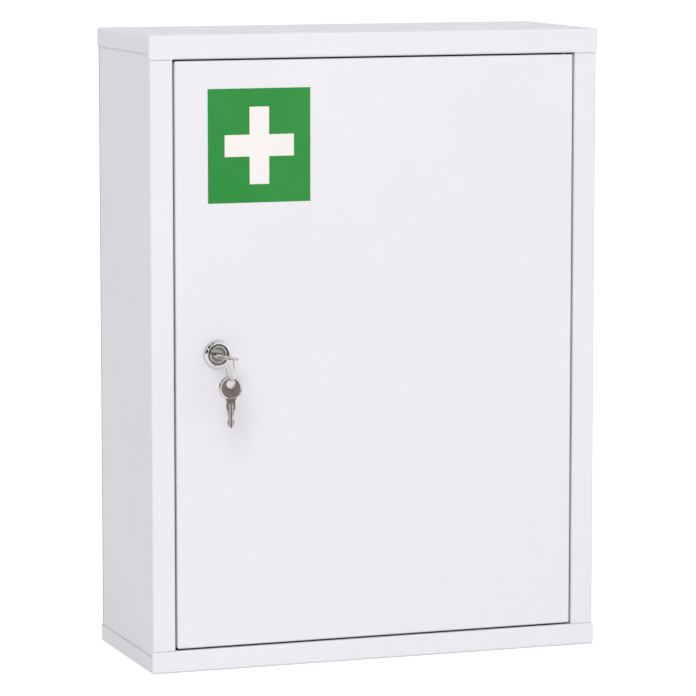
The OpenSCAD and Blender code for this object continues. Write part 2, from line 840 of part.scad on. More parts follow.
// A key in its own plane: centre of the head at the origin, blade along +Y, thickness along Z
module key() {
    difference() {
        union() {
            // head, thinner than its rims
            difference() {
                cylinder(r = head_r, h = key_t, center = true);
                for (side = [-1, 1]) translate([0, 0, side * (key_t / 2 + over - rim_step)]) difference() {
                    cylinder(r = head_r - rim_w, h = 2 * over, center = true);
                    translate([0, -head_hole_offset, 0])
                        cylinder(r = hole_r + rim_w, h = 4 * over, center = true);
                }
            }
            // neck, flared where it leaves the head
            linear_extrude(key_t, center = true) polygon([
                [-neck_w / 2 - neck_flare, neck_start], [neck_w / 2 + neck_flare, neck_start],
                [neck_w / 2, (neck_start + neck_end) / 2], [neck_w / 2, neck_end],
                [-neck_w / 2, neck_end], [-neck_w / 2, (neck_start + neck_end) / 2]
            ]);
            // root and blade
            linear_extrude(blade_t, center = true) polygon(concat(
                [[-neck_w / 2, neck_end - over], [neck_w / 2, neck_end - over], [neck_w / 2, shoulder]],
                [for (c = blade_cuts) [c[1], shoulder + c[0]]],
                [for (i = [len(blade_cuts) - 1 : -1 : 0]) [-blade_cuts[i][1], shoulder + blade_cuts[i][0]]],
                [[-neck_w / 2, shoulder]]
            ));
        }
        translate([0, -head_hole_offset, 0]) cylinder(r = hole_r, h = key_t + 2 * over, center = true);
        for (x = groove_x, side = [-1, 1])
            translate([x - blade_groove_w / 2, neck_end, side * blade_t / 2])
                mirror([0, 0, side > 0 ? 0 : 1]) translate([0, 0, -blade_groove_depth])
                    cube([blade_groove_w, shoulder + blade_len, blade_groove_depth + over]);
    }
}

module working_key() {
    color("#8b8279") at_plug() translate([0, 0, head_s]) rotate([90, 0, 0]) key();
}

// One turn of wire, threaded through the working key's hole and hanging in front of it
module key_ring() {
    color("#a8a6a3") at_lock() translate([0, ring_drop, ring_s]) rotate([0, 90, 0])
        rotate(40) rotate_extrude(angle = 360 - ring_joint_gap) translate([ring_r, 0]) circle(wire_r);
}

// The spare key hangs flat to the door from the lowest point of the ring
module spare_key() {
    color("#8b8279") at_lock() translate([0, spare_drop, ring_s]) key();
}

// ---------- output ----------

module placed() {
    translate([0, front_y, 0]) children();
}

placed() left_side_panel();
placed() right_side_panel();
placed() back_panel();
placed() top_cap();
placed() bottom_pan();
placed() left_shelf_rails();
placed() right_shelf_rails();
placed() door_bumpers();
placed() upper_hinge_bush();
placed() lower_hinge_bush();
placed() lower_shelf();
placed() upper_shelf();
placed() door_panel();
placed() door_channel();
placed() upper_hinge_bracket();
placed() lower_hinge_bracket();
placed() upper_hinge_pin();
placed() lower_hinge_pin();
placed() hinge_pin_clips();
placed() sign_film();
placed() sign_cross();
placed() lock_barrel();
placed() lock_nut();
placed() lock_plug();
placed() lock_wafers();
placed() stop_washer();
placed() cam();
placed() spring_washer();
placed() cam_screw();
placed() working_key();
placed() key_ring();
placed() spare_key();
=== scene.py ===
# %% [markdown]
# # A lockable medicine cabinet
# The cabinet is folded sheet steel with a powder coat, one inset door, a cam lock and two keys.
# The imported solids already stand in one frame, in metres, with the door side towards -Y.
# This lesson dresses them: it lights a small studio, mixes the finishes from shader nodes,
# rounds the edges that a real coat or stamping rounds, and makes the turned, repeated and
# wire pieces with Geometry Nodes.

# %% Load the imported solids
import json
import math

import bmesh
import bpy
import numpy as np
from mathutils import Matrix, Vector


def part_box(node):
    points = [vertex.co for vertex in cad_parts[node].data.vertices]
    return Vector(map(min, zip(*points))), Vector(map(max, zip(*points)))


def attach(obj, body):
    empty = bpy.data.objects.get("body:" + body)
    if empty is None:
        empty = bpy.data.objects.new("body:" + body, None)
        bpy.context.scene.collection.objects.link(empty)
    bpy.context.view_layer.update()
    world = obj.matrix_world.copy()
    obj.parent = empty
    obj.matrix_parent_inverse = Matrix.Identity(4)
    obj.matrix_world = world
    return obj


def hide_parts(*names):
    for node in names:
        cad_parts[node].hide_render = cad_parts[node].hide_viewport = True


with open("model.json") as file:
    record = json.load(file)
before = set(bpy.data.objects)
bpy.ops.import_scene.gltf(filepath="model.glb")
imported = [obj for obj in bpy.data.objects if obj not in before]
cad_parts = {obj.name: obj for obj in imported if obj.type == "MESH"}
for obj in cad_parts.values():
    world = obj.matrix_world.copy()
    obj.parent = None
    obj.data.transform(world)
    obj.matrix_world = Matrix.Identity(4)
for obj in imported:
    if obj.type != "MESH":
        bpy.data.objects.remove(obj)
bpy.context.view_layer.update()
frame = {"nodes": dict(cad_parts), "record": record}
nodes = frame["nodes"]
MM = 0.001
record = frame["record"]
body_of = {node: body for body, members in record["behaviour"]["bodies"].items() for node in members}

# %% [markdown]
# ## Camera
# A long lens from a few metres away keeps the upright edges nearly parallel. The camera stands to the
# left of the cabinet and a little above its middle, so it sees the front, the left side and the top.
# Lens shift could make the uprights exactly parallel, but a plain camera serves every other view too.

# %% Camera
LENS = 204.6
EYE = Vector((-0.9668, -2.7554, 0.5872))
AIM = Vector((-0.02257, -0.0663, 0.23109))

camera = bpy.data.objects.new("camera", bpy.data.cameras.new("camera"))
camera.data.lens = LENS
camera.data.sensor_width = 36
camera.location = EYE
camera.rotation_euler = (AIM - EYE).to_track_quat("-Z", "Y").to_euler()
camera.data.clip_end = 100
bpy.context.scene.collection.objects.link(camera)
bpy.context.scene.camera = camera
print("camera distance in m:", round((AIM - EYE).length, 3))

# %% [markdown]
# ## Node helpers
# Every finish and every Geometry Nodes tree is made of nodes and links. Three small helpers keep the
# later cells short: one adds a node and sets its inputs, one adds a math node, one makes a group.

# %% Node helpers
def add(tree, kind, inputs=None, **settings):
    """Adds a node. An input may be a plain value or the output socket that feeds it."""
    node = tree.nodes.new(kind)
    for name, value in settings.items():
        setattr(node, name, value)
    for key, value in (inputs or {}).items():
        if isinstance(value, bpy.types.NodeSocket):
            tree.links.new(value, node.inputs[key])
        else:
            node.inputs[key].default_value = value
    return node


def calc(tree, operation, *values):
    """Adds a math node and returns its output socket."""
    return add(tree, "ShaderNodeMath", dict(enumerate(values)), operation=operation).outputs[0]


def vector_calc(tree, operation, *values, output="Vector"):
    return add(tree, "ShaderNodeVectorMath", dict(enumerate(values)), operation=operation).outputs[output]


def ramp(tree, value, low, high, to_low=0.0, to_high=1.0, smooth=True):
    """Maps low..high to to_low..to_high and clamps."""
    node = add(tree, "ShaderNodeMapRange", {"Value": value, "From Min": low, "From Max": high,
                                            "To Min": to_low, "To Max": to_high},
               interpolation_type="SMOOTHSTEP" if smooth else "LINEAR")
    return node.outputs["Result"]


def new_group(name, kind, inputs, outputs):
    """Makes a node group with named sockets, given as name: (type, default)."""
    group = bpy.data.node_groups.new(name, kind)
    for label, (socket_type, default) in inputs.items():
        socket = group.interface.new_socket(label, in_out="INPUT", socket_type="NodeSocket" + socket_type)
        if default is not None:
            socket.default_value = default
    for label, socket_type in outputs.items():
        group.interface.new_socket(label, in_out="OUTPUT", socket_type="NodeSocket" + socket_type)
    return group, group.nodes.new("NodeGroupInput").outputs, group.nodes.new("NodeGroupOutput").inputs


print("helpers ready")

# %% [markdown]
# ## Studio
# A white product is lit from all round. The sky of this world is brightest near the horizon, as
# between large white walls. White paint needs no more, but polished metal needs something dark to
# mirror, so three long black flags lie at the upper left, given by how far they climb from the left
# horizon in degrees. Light Path shows them to reflections alone, and the light on the paint stays even.
# Large lamps could do the same, but their outlines would show in the chrome.

# %% World
SKY_HORIZON, SKY_ZENITH, SKY_SIDEWAYS = 1.05, 0.575, 0.22
SKY_TINT = (1.0, 0.99, 1.0, 1)
FLAGS = [(0, 28), (37, 61), (69, 86)]
FLAG_FADE, FLAG_BLACK = 2, 0.97
FLAG_FRONT, FLAG_REAR = -0.985, 0.45

world = bpy.data.worlds.new("studio")
bpy.context.scene.world = world
world.use_nodes = True
sky = world.node_tree
sky.nodes.clear()
direction = add(sky, "ShaderNodeTexCoord").outputs["Generated"]
toward = add(sky, "ShaderNodeSeparateXYZ", {"Vector": direction}).outputs
light_level = ramp(sky, toward["Z"], 0.0, 0.9, SKY_HORIZON, SKY_ZENITH)
to_the_right = calc(sky, "MULTIPLY_ADD", toward["X"], SKY_SIDEWAYS, 1.0)
light_level = calc(sky, "MULTIPLY", light_level, to_the_right)

climb = calc(sky, "ARCTAN2", toward["Z"], calc(sky, "MULTIPLY", toward["X"], -1.0))
beside = calc(sky, "MULTIPLY", calc(sky, "GREATER_THAN", toward["Y"], FLAG_FRONT),
              calc(sky, "LESS_THAN", toward["Y"], FLAG_REAR))
in_mirror = calc(sky, "MULTIPLY", beside, add(sky, "ShaderNodeLightPath").outputs["Is Glossy Ray"])
for first, last in FLAGS:
    begun = ramp(sky, climb, math.radians(first), math.radians(first + FLAG_FADE))
    not_over = ramp(sky, climb, math.radians(last - FLAG_FADE), math.radians(last), 1.0, 0.0)
    flag = calc(sky, "MULTIPLY", calc(sky, "MULTIPLY", begun, not_over), in_mirror)
    flag = calc(sky, "MULTIPLY", flag, FLAG_BLACK)
    light_level = calc(sky, "MULTIPLY", light_level, calc(sky, "SUBTRACT", 1.0, flag))
background = add(sky, "ShaderNodeBackground", {"Color": SKY_TINT, "Strength": light_level})
add(sky, "ShaderNodeOutputWorld", {"Surface": background.outputs[0]})
print("world with", len(FLAGS), "black flags")

# %% [markdown]
# The key light is a softbox in front of the cabinet, to the left and above, so the keys throw a soft
# shadow down to the right. A softbox alone would leave the far floor dim, because its light falls off
# with distance. A very soft sun from the same side doesn't, and evens the floor. Neither is seen in
# mirrors, where only the sky and the flags should show.

# %% Lights
SUN_ENERGY, SUN_SOFTNESS, SUN_AT, SUN_AIM = 0.655, 40, (-1.2, -3.6, 3.0), (0, 0, 0.2)
BOX_ENERGY, BOX_SIDE, BOX_AT, BOX_AIM = 13.7, 0.9, (-1.1, -1.9, 1.7), (0, 0, 0.35)


def hang_light(name, kind, energy, at, aim):
    """Hangs a light at a point, aimed at another, and hides it from mirrors."""
    light = bpy.data.objects.new(name, bpy.data.lights.new(name, kind))
    light.data.energy = energy
    light.location = at
    light.rotation_euler = (Vector(aim) - light.location).to_track_quat("-Z", "Y").to_euler()
    light.visible_glossy = False
    bpy.context.scene.collection.objects.link(light)
    return light


sun = hang_light("soft_sun", "SUN", SUN_ENERGY, SUN_AT, SUN_AIM)
sun.data.angle = math.radians(SUN_SOFTNESS)
softbox = hang_light("softbox", "AREA", BOX_ENERGY, BOX_AT, BOX_AIM)
softbox.data.shape = "RECTANGLE"
softbox.data.size = softbox.data.size_y = BOX_SIDE
bpy.context.scene.view_settings.view_transform = "Standard"
print("lights:", sun.name, softbox.name)

# %% [markdown]
# ## Floor
# A matt white table. It must stay paler than the cabinet, as the lit acrylic table does that small
# products are shot on. More light would whiten it too, but would burn out the cabinet. So it glows, for
# the camera alone, and no light comes up from below.

# %% Floor
FLOOR_HALF = 30.0
TABLE_WHITE, TABLE_ROUGHNESS, CAMERA_GLOW = (0.88, 0.88, 0.88, 1), 0.9, 0.40


def stage_sheet(name, corners):
    """Adds a flat sheet that belongs to the studio and not to the cabinet."""
    mesh = bpy.data.meshes.new(name)
    mesh.from_pydata(corners, [], [(0, 1, 2, 3)])
    sheet = bpy.data.objects.new(name, mesh)
    bpy.context.scene.collection.objects.link(sheet)
    material = bpy.data.materials.new(name)
    material.use_nodes = True
    mesh.materials.append(material)
    return sheet, material.node_tree.nodes["Principled BSDF"].inputs


corners = [(x * FLOOR_HALF, y * FLOOR_HALF, 0) for x, y in ((-1, -1), (1, -1), (1, 1), (-1, 1))]
floor, table_inputs = stage_sheet("floor", corners)
table_inputs["Base Color"].default_value = TABLE_WHITE
table_inputs["Roughness"].default_value = TABLE_ROUGHNESS
table_inputs["Specular IOR Level"].default_value = 0.0
table_inputs["Emission Color"].default_value = (1, 1, 1, 1)
table = floor.active_material.node_tree
seen = add(table, "ShaderNodeLightPath").outputs["Is Camera Ray"]
table.links.new(calc(table, "MULTIPLY", seen, CAMERA_GLOW), table_inputs["Emission Strength"])
print("floor half width in m:", FLOOR_HALF)

# %% [markdown]
# The flat faces of the keys look straight at whatever stands in front of the cabinet. A grey flag on
# the table gives them something to mirror. It is seen by reflections alone and throws no shadow.

# %% Grey flag
FLAG_GREY, FLAG_TINT = 0.20, (1.0, 0.97, 0.94, 1)
FLAG_LEFT, FLAG_RIGHT, FLAG_BOTTOM, FLAG_TOP, FLAG_AWAY = -0.16, 0.30, 0.02, 0.26, -0.85

corners = [(FLAG_LEFT, FLAG_AWAY, FLAG_TOP), (FLAG_RIGHT, FLAG_AWAY, FLAG_TOP),
           (FLAG_RIGHT, FLAG_AWAY, FLAG_BOTTOM), (FLAG_LEFT, FLAG_AWAY, FLAG_BOTTOM)]
grey_flag, flag_inputs = stage_sheet("grey_flag", corners)
grey_flag.visible_camera = grey_flag.visible_diffuse = grey_flag.visible_shadow = False
flag_inputs["Base Color"].default_value = (0, 0, 0, 1)
flag_inputs["Emission Color"].default_value = FLAG_TINT
flag_inputs["Emission Strength"].default_value = FLAG_GREY
print("flag grey:", FLAG_GREY)

# %% [markdown]
# ## Effects shared by the finishes
# Powder coat, film and metal all show the same few effects at different strengths, so each effect is
# a node group that is placed in several materials. A group gives only heights, masks and values. The
# Principled shader stays in the material itself. The first is orange peel: powder melts before it sets,
# and its skin keeps small dimples and long waves. A fine and a coarse noise added together give both.

# %% Orange peel
def placed(tree, group, inputs):
    """Places a group in a material and returns its output sockets."""
    node = tree.nodes.new("ShaderNodeGroup")
    node.node_tree = group
    for key, value in inputs.items():
        if isinstance(value, bpy.types.NodeSocket):
            tree.links.new(value, node.inputs[key])
        else:
            node.inputs[key].default_value = value
    return node.outputs


def noise(tree, vector, scale, detail=2.0, roughness=0.5, distortion=0.0):
    node = add(tree, "ShaderNodeTexNoise", {"Vector": vector, "Scale": scale, "Detail": detail,
                                            "Roughness": roughness, "Distortion": distortion})
    return node.outputs["Fac"]


orange_peel, peel_in, peel_out = new_group(
    "orange peel", "ShaderNodeTree",
    {"Vector": ("Vector", None), "Dimple Scale": ("Float", 900.0), "Wave Scale": ("Float", 9.0),
     "Wave Share": ("Float", 0.5)},
    {"Height": "Float"})
dimples = noise(orange_peel, peel_in["Vector"], peel_in["Dimple Scale"], detail=1.0)
waves = noise(orange_peel, peel_in["Vector"], peel_in["Wave Scale"], detail=1.0)
waves = calc(orange_peel, "MULTIPLY", waves, peel_in["Wave Share"])
orange_peel.links.new(calc(orange_peel, "ADD", dimples, waves), peel_out["Height"])
print("group:", orange_peel.name)

# %% [markdown]
# Hands, cloths and years leave faint clouds on any smooth surface: a little more or less gloss in soft
# patches. Fine scuffs are thin stretched noise, kept only where it peaks. A painted map could hold them,
# but noise on Object coordinates needs no unwrapping and has no seams at a fold.

# %% Handling
handling, hand_in, hand_out = new_group(
    "handling", "ShaderNodeTree",
    {"Vector": ("Vector", None), "Cloud Scale": ("Float", 12.0), "Scuff Scale": ("Float", 60.0)},
    {"Clouds": "Float", "Scuffs": "Float"})
clouds = noise(handling, hand_in["Vector"], hand_in["Cloud Scale"], detail=4.0, roughness=0.6)
handling.links.new(ramp(handling, clouds, 0.35, 0.65), hand_out["Clouds"])
stretched = vector_calc(handling, "MULTIPLY", hand_in["Vector"], (1.0, 1.0, 9.0))
streaks = noise(handling, stretched, hand_in["Scuff Scale"], detail=3.0, distortion=0.6)
handling.links.new(ramp(handling, streaks, 0.66, 0.74), hand_out["Scuffs"])
print("group:", handling.name)

# %% [markdown]
# Rolled, drawn and ground metal has a grain: fine parallel lines along the direction of working. Lines
# of one width would look printed. So the group stretches noise: an axis with a small squeeze factor is
# the one the grain runs along.

# %% Grain
grain, grain_in, grain_out = new_group(
    "metal grain", "ShaderNodeTree",
    {"Vector": ("Vector", None), "Squeeze": ("Vector", (1.0, 1.0, 0.04)), "Scale": ("Float", 2500.0)},
    {"Height": "Float", "Tone": "Float"})
squeezed = vector_calc(grain, "MULTIPLY", grain_in["Vector"], grain_in["Squeeze"])
lines = noise(grain, squeezed, grain_in["Scale"], detail=2.0, roughness=0.7)
grain.links.new(lines, grain_out["Height"])
grain.links.new(ramp(grain, lines, 0.3, 0.7), grain_out["Tone"])
print("group:", grain.name)

# %% [markdown]
# Dust settles on whatever faces up, in an uneven film that is thickest where nothing brushes it off. It
# is far thinner than any mesh could show, so a mask from the normal and a speckle of noise is enough.

# %% Dust
dust, dust_in, dust_out = new_group(
    "dust", "ShaderNodeTree",
    {"Vector": ("Vector", None), "Speckle Scale": ("Float", 160.0)},
    {"Mask": "Float"})
faces_up = add(dust, "ShaderNodeSeparateXYZ",
               {"Vector": add(dust, "ShaderNodeNewGeometry").outputs["Normal"]}).outputs["Z"]
speckle = noise(dust, dust_in["Vector"], dust_in["Speckle Scale"], detail=4.0, roughness=0.7)
film = calc(dust, "MULTIPLY", ramp(dust, faces_up, 0.6, 0.98), ramp(dust, speckle, 0.4, 0.75))
dust.links.new(film, dust_out["Mask"])
print("group:", dust.name)

# %% [markdown]
# ## Finishes
# One function starts a material: it makes the Principled shader, hands back the Object coordinates
# that every pattern hangs on, and sets the plain values on the shader's own sockets. Each finish could
# be built from nothing, but then a change to one would be missed in the others.

# %% A finish to start from
def new_finish(name, **plain):
    material = bpy.data.materials.new(name)
    material.use_nodes = True
    tree = material.node_tree
    shader = tree.nodes["Principled BSDF"]
    for socket, value in plain.items():
        shader.inputs[socket.replace("_", " ")].default_value = value
    place = add(tree, "ShaderNodeTexCoord").outputs["Object"]
    return material, tree, shader, place


def blend_colors(tree, factor, first, second):
    node = add(tree, "ShaderNodeMix", {"Factor": factor}, data_type="RGBA")
    for index, color in ((6, first), (7, second)):
        if isinstance(color, bpy.types.NodeSocket):
            tree.links.new(color, node.inputs[index])
        else:
            node.inputs[index].default_value = (*color, 1)
    return node.outputs[2]


def bump(tree, shader, height, strength, distance):
    node = add(tree, "ShaderNodeBump", {"Height": height, "Strength": strength, "Distance": distance})
    tree.links.new(node.outputs["Normal"], shader.inputs["Normal"])


print("helpers for finishes ready")

# %% [markdown]
# Shade is painted into narrow gaps and seams: a painted shade, darkest where least of the view is open.
# Ambient Occlusion tells how much of the view from a point is open. The mask is 1 deep in a gap and
# fades to 0 where the given share of the view is open. The reach tells how far off a wall still counts.

# %% Painted shade in gaps
def shade_in_gaps(tree, reach, closed, open_share):
    openness = add(tree, "ShaderNodeAmbientOcclusion", {"Distance": reach}, samples=8).outputs["AO"]
    return ramp(tree, openness, closed, open_share, 1.0, 0.0)


# The near black of the painted shade in gaps.
PAINTED_SHADE = (0.030, 0.029, 0.030)
print("painted shade colour:", PAINTED_SHADE)

# %% [markdown]
# ### Edge wear and painted highlight
# Hands and cloths polish whatever stands proud, and edges catch the light. The Bevel node gives the
# normal that a rounded edge would have, and where it leaves the true normal there is an edge. Broken up
# by noise, the mask lightens edges: partly wear, partly a painted highlight. The group is used by the
# paint and by each metal.

# %% Edge wear and highlight group
edge_wear_and_highlight, edge_in, edge_out = new_group(
    "edge wear and highlight", "ShaderNodeTree",
    {"Vector": ("Vector", (0.0, 0.0, 0.0)), "Radius": ("Float", 0.0003), "Break Scale": ("Float", 300.0)},
    {"Mask": "Float"})
bevel_node = add(edge_wear_and_highlight, "ShaderNodeBevel", {"Radius": edge_in["Radius"]}, samples=6)
rounded_normal = bevel_node.outputs["Normal"]
true_normal = add(edge_wear_and_highlight, "ShaderNodeNewGeometry").outputs["Normal"]
likeness = vector_calc(edge_wear_and_highlight, "DOT_PRODUCT", rounded_normal, true_normal, output="Value")
at_edge = ramp(edge_wear_and_highlight, likeness, 0.86, 0.995, 1.0, 0.0)
breaks = add(edge_wear_and_highlight, "ShaderNodeTexNoise", {"Vector": edge_in["Vector"], "Scale": edge_in["Break Scale"],
                                               "Detail": 3.0}).outputs["Fac"]
edge_wear_and_highlight.links.new(calc(edge_wear_and_highlight, "MULTIPLY", at_edge, ramp(edge_wear_and_highlight, breaks, 0.35, 0.6, 0.25, 1.0)),
                    edge_out["Mask"])
print("group:", edge_wear_and_highlight.name)

# %% [markdown]
# ### Powder coat
# White polyester powder, baked on. It is satin, with a fine orange peel and slow waves where the thin
# sheet was rolled. The white is faintly violet, and dust greys the faces that look up. Edges are painted
# lighter as a highlight, and seams and gaps are painted dark as shade. The colour could be painted by
# hand, but masks that follow edges, gaps and facing stay right when a size changes. The lowest
# millimetres get no painted shade, because the table under them would darken them like a gap.

# %% Colour of the powder coat
PAINT, PAINT_CLOUD = (0.775, 0.762, 0.795), (0.760, 0.748, 0.778)
# The edge colour is a painted highlight and the seam colour a painted shade; the dust is real.
EDGE_HIGHLIGHT_PAINT, SEAM_SHADE, DUST = (0.83, 0.82, 0.85), (0.16, 0.155, 0.16), (0.62, 0.60, 0.57)
SEAM_SHADE_REACH, SHADOW_REACH, FOOTPRINT_FROM, FOOTPRINT_TO = 1.2 * MM, 14 * MM, 0.2 * MM, 2 * MM

powder, tree, shader, place = new_finish("powder_coat", Specular_IOR_Level=0.42, Coat_Roughness=0.25)
marks = placed(tree, handling, {"Vector": place, "Cloud Scale": 7.0, "Scuff Scale": 45.0})
dusty = placed(tree, dust, {"Vector": place, "Speckle Scale": 120.0})["Mask"]
paint_color = blend_colors(tree, marks["Clouds"], PAINT, PAINT_CLOUD)
paint_color = blend_colors(tree, calc(tree, "MULTIPLY", dusty, 0.10), paint_color, DUST)
# Edges of the coat are painted lighter: a painted highlight.
edges = placed(tree, edge_wear_and_highlight, {"Vector": place, "Radius": 0.5 * MM, "Break Scale": 90.0})["Mask"]
paint_color = blend_colors(tree, calc(tree, "MULTIPLY", edges, 0.5), paint_color, EDGE_HIGHLIGHT_PAINT)

above_floor = add(tree, "ShaderNodeSeparateXYZ", {"Vector": place}).outputs["Z"]
off_table = ramp(tree, above_floor, FOOTPRINT_FROM, FOOTPRINT_TO)
# Seams, such as under a cap's lip, are painted dark: painted shade.
seam_shade = calc(tree, "MULTIPLY", off_table, shade_in_gaps(tree, SEAM_SHADE_REACH, 0.45, 0.66))
paint_color = blend_colors(tree, seam_shade, paint_color, SEAM_SHADE)
face_normal = add(tree, "ShaderNodeNewGeometry").outputs["Normal"]
upward = add(tree, "ShaderNodeSeparateXYZ", {"Vector": face_normal}).outputs["Z"]
level = ramp(tree, calc(tree, "ABSOLUTE", upward), 0.5, 0.9)
# Level faces deep in a gap, such as the door's top edge, are painted near black: painted shade.
deep_gap_shade = calc(tree, "MULTIPLY", level, shade_in_gaps(tree, SHADOW_REACH, 0.03, 0.2))
paint_color = blend_colors(tree, calc(tree, "MULTIPLY", deep_gap_shade, off_table), paint_color, PAINTED_SHADE)
tree.links.new(paint_color, shader.inputs["Base Color"])
print("paint:", PAINT, "edge highlight paint:", EDGE_HIGHLIGHT_PAINT)

# %% [markdown]
# Clouds, scuffs and dust also change how rough the coat is. Its orange peel is a height only, so it is
# a bump and not a shape: the dimples are hundredths of a millimetre deep.

# %% Surface of the powder coat
PEEL_STRENGTH, PEEL_DEPTH = 0.22, 0.25 * MM
gloss = ramp(tree, marks["Clouds"], 0, 1, 0.36, 0.43, smooth=False)
gloss = calc(tree, "ADD", gloss, calc(tree, "MULTIPLY", marks["Scuffs"], 0.08))
gloss = calc(tree, "ADD", gloss, calc(tree, "MULTIPLY", dusty, 0.25))
tree.links.new(gloss, shader.inputs["Roughness"])
peel = placed(tree, orange_peel, {"Vector": place, "Dimple Scale": 900.0, "Wave Scale": 8.0,
                                  "Wave Share": 6.0})
bump(tree, shader, peel["Height"], PEEL_STRENGTH, PEEL_DEPTH)
print("finish:", powder.name)

# %% [markdown]
# ### Metals
# Six metals share one recipe with other numbers: a base tone, a second tone that the grain or the
# clouds blend in, a bright tone for worn edges that is partly polish and partly a painted highlight, a
# roughness range, and how deep the grain is. Recesses get painted shade. Chrome is nearly a mirror, zinc
# plate is milky, the keys are tumbled nickel that has gone brown in the field of the head. Their raised
# border takes the bright tone, as polish and painted highlight, from a mark on the mesh.

# %% Metals
METAL_TONES = {
    # name: base tone, tone of the grain, bright tone for polish and painted highlight
    "chrome_plate": ((0.90, 0.90, 0.91), (0.82, 0.82, 0.84), (0.95, 0.95, 0.96)),
    "zinc_plate": ((0.66, 0.67, 0.69), (0.52, 0.53, 0.55), (0.80, 0.80, 0.81)),
    "plug_nickel": ((0.74, 0.73, 0.72), (0.60, 0.59, 0.57), (0.95, 0.95, 0.94)),
    "key_nickel": ((0.66, 0.61, 0.55), (0.54, 0.49, 0.43), (0.93, 0.92, 0.90)),
    "drawn_wire": ((0.93, 0.93, 0.92), (0.80, 0.79, 0.78), (0.95, 0.95, 0.95)),
    "stamped_brass": ((0.78, 0.60, 0.27), (0.60, 0.44, 0.18), (0.90, 0.75, 0.42)),
}
METAL_SURFACES = {
    # name: roughness low and high, then squeeze, scale and strength of the grain
    "chrome_plate": (0.03, 0.07, (1, 1, 1), 500, 0.02),
    "zinc_plate": (0.24, 0.40, (1, 1, 0.15), 1400, 0.10),
    "plug_nickel": (0.10, 0.20, (1, 1, 0.4), 1600, 0.06),
    "key_nickel": (0.12, 0.22, (1, 1, 0.5), 1500, 0.15),
    "drawn_wire": (0.08, 0.16, (0.3, 1, 0.3), 2200, 0.05),
    "stamped_brass": (0.22, 0.36, (1, 0.1, 1), 1800, 0.12),
}
GRAIN_DEPTH = 0.05 * MM


def metal(name):
    """Mixes one metal from its row in each table."""
    base, second, bright_tone = METAL_TONES[name]
    smoothest, roughest, squeeze, scale, strength = METAL_SURFACES[name]
    material, tree, shader, place = new_finish(name, Metallic=1.0)
    marks = placed(tree, handling, {"Vector": place, "Cloud Scale": 130.0, "Scuff Scale": 420.0})
    lines = placed(tree, grain, {"Vector": place, "Squeeze": squeeze, "Scale": scale})
    edges = placed(tree, edge_wear_and_highlight, {"Vector": place, "Radius": 0.2 * MM, "Break Scale": 500.0})["Mask"]
    raised = add(tree, "ShaderNodeAttribute", attribute_name="raised").outputs["Fac"]
    tone = calc(tree, "MULTIPLY_ADD", lines["Tone"], 0.5, calc(tree, "MULTIPLY", marks["Clouds"], 0.5))
    color = blend_colors(tree, tone, base, second)
    # Edges and marked points take the bright tone: polish and a painted highlight.
    color = blend_colors(tree, calc(tree, "MAXIMUM", edges, raised), color, bright_tone)
    # Recesses are painted near black: painted shade.
    color = blend_colors(tree, shade_in_gaps(tree, 2.5 * MM, 0.30, 0.55), color, PAINTED_SHADE)
    tree.links.new(color, shader.inputs["Base Color"])
    rough = ramp(tree, marks["Clouds"], 0, 1, smoothest, roughest, smooth=False)
    rough = calc(tree, "MULTIPLY_ADD", marks["Scuffs"], 0.12, rough)
    milled = add(tree, "ShaderNodeAttribute", attribute_name="milled").outputs["Fac"]
    tree.links.new(calc(tree, "MULTIPLY_ADD", milled, 0.45, rough), shader.inputs["Roughness"])
    bump(tree, shader, lines["Height"], strength, GRAIN_DEPTH)
    return material


metals = {name: metal(name) for name in METAL_TONES}
print("metals:", ", ".join(metals))

# %% [markdown]
# ### Films, nylon and rubber
# The sign is printed self-adhesive film: even colour, satin face, a trace of the door's waves showing
# through it. Nylon is milky and lets a little light in. Rubber is matt with a dusty bloom. They differ
# only in numbers, so one function mixes all four.

# %% Films and plastics
def coated_plastic(name, tones, roughness, peel_strength, **plain):
    """Mixes an even coloured finish with clouds, scuffs and a faint orange peel."""
    material, tree, shader, place = new_finish(name, **plain)
    marks = placed(tree, handling, {"Vector": place, "Cloud Scale": 25.0, "Scuff Scale": 90.0})
    tree.links.new(blend_colors(tree, marks["Clouds"], *tones), shader.inputs["Base Color"])
    rough = ramp(tree, marks["Clouds"], 0, 1, *roughness, smooth=False)
    tree.links.new(calc(tree, "MULTIPLY_ADD", marks["Scuffs"], 0.10, rough), shader.inputs["Roughness"])
    peel = placed(tree, orange_peel, {"Vector": place, "Dimple Scale": 1300.0, "Wave Scale": 8.0,
                                      "Wave Share": 6.0})
    bump(tree, shader, peel["Height"], peel_strength, PEEL_DEPTH)
    return material


green_film = coated_plastic("green_film", ((0.0155, 0.246, 0.034), (0.0195, 0.260, 0.040)), (0.30, 0.38),
                            0.15, Specular_IOR_Level=0.4)
white_film = coated_plastic("white_film", ((0.843, 0.807, 0.765), (0.828, 0.792, 0.750)), (0.30, 0.38),
                            0.15, Specular_IOR_Level=0.4)
nylon = coated_plastic("nylon", ((0.78, 0.76, 0.70), (0.74, 0.72, 0.66)), (0.42, 0.55),
                       0.10, Subsurface_Weight=0.2, Subsurface_Scale=2 * MM)
rubber = coated_plastic("black_rubber", ((0.030, 0.030, 0.032), (0.05, 0.05, 0.05)), (0.65, 0.85), 0.3)
print("films and plastics:", green_film.name, white_film.name, nylon.name, rubber.name)

# %% [markdown]
# ## Dressing the solids
# Each solid keeps its shape and gets its finish here. A table of finish and nodes reads like a parts
# list. The solids that are rebuilt further down are replaced there and take the same finish.

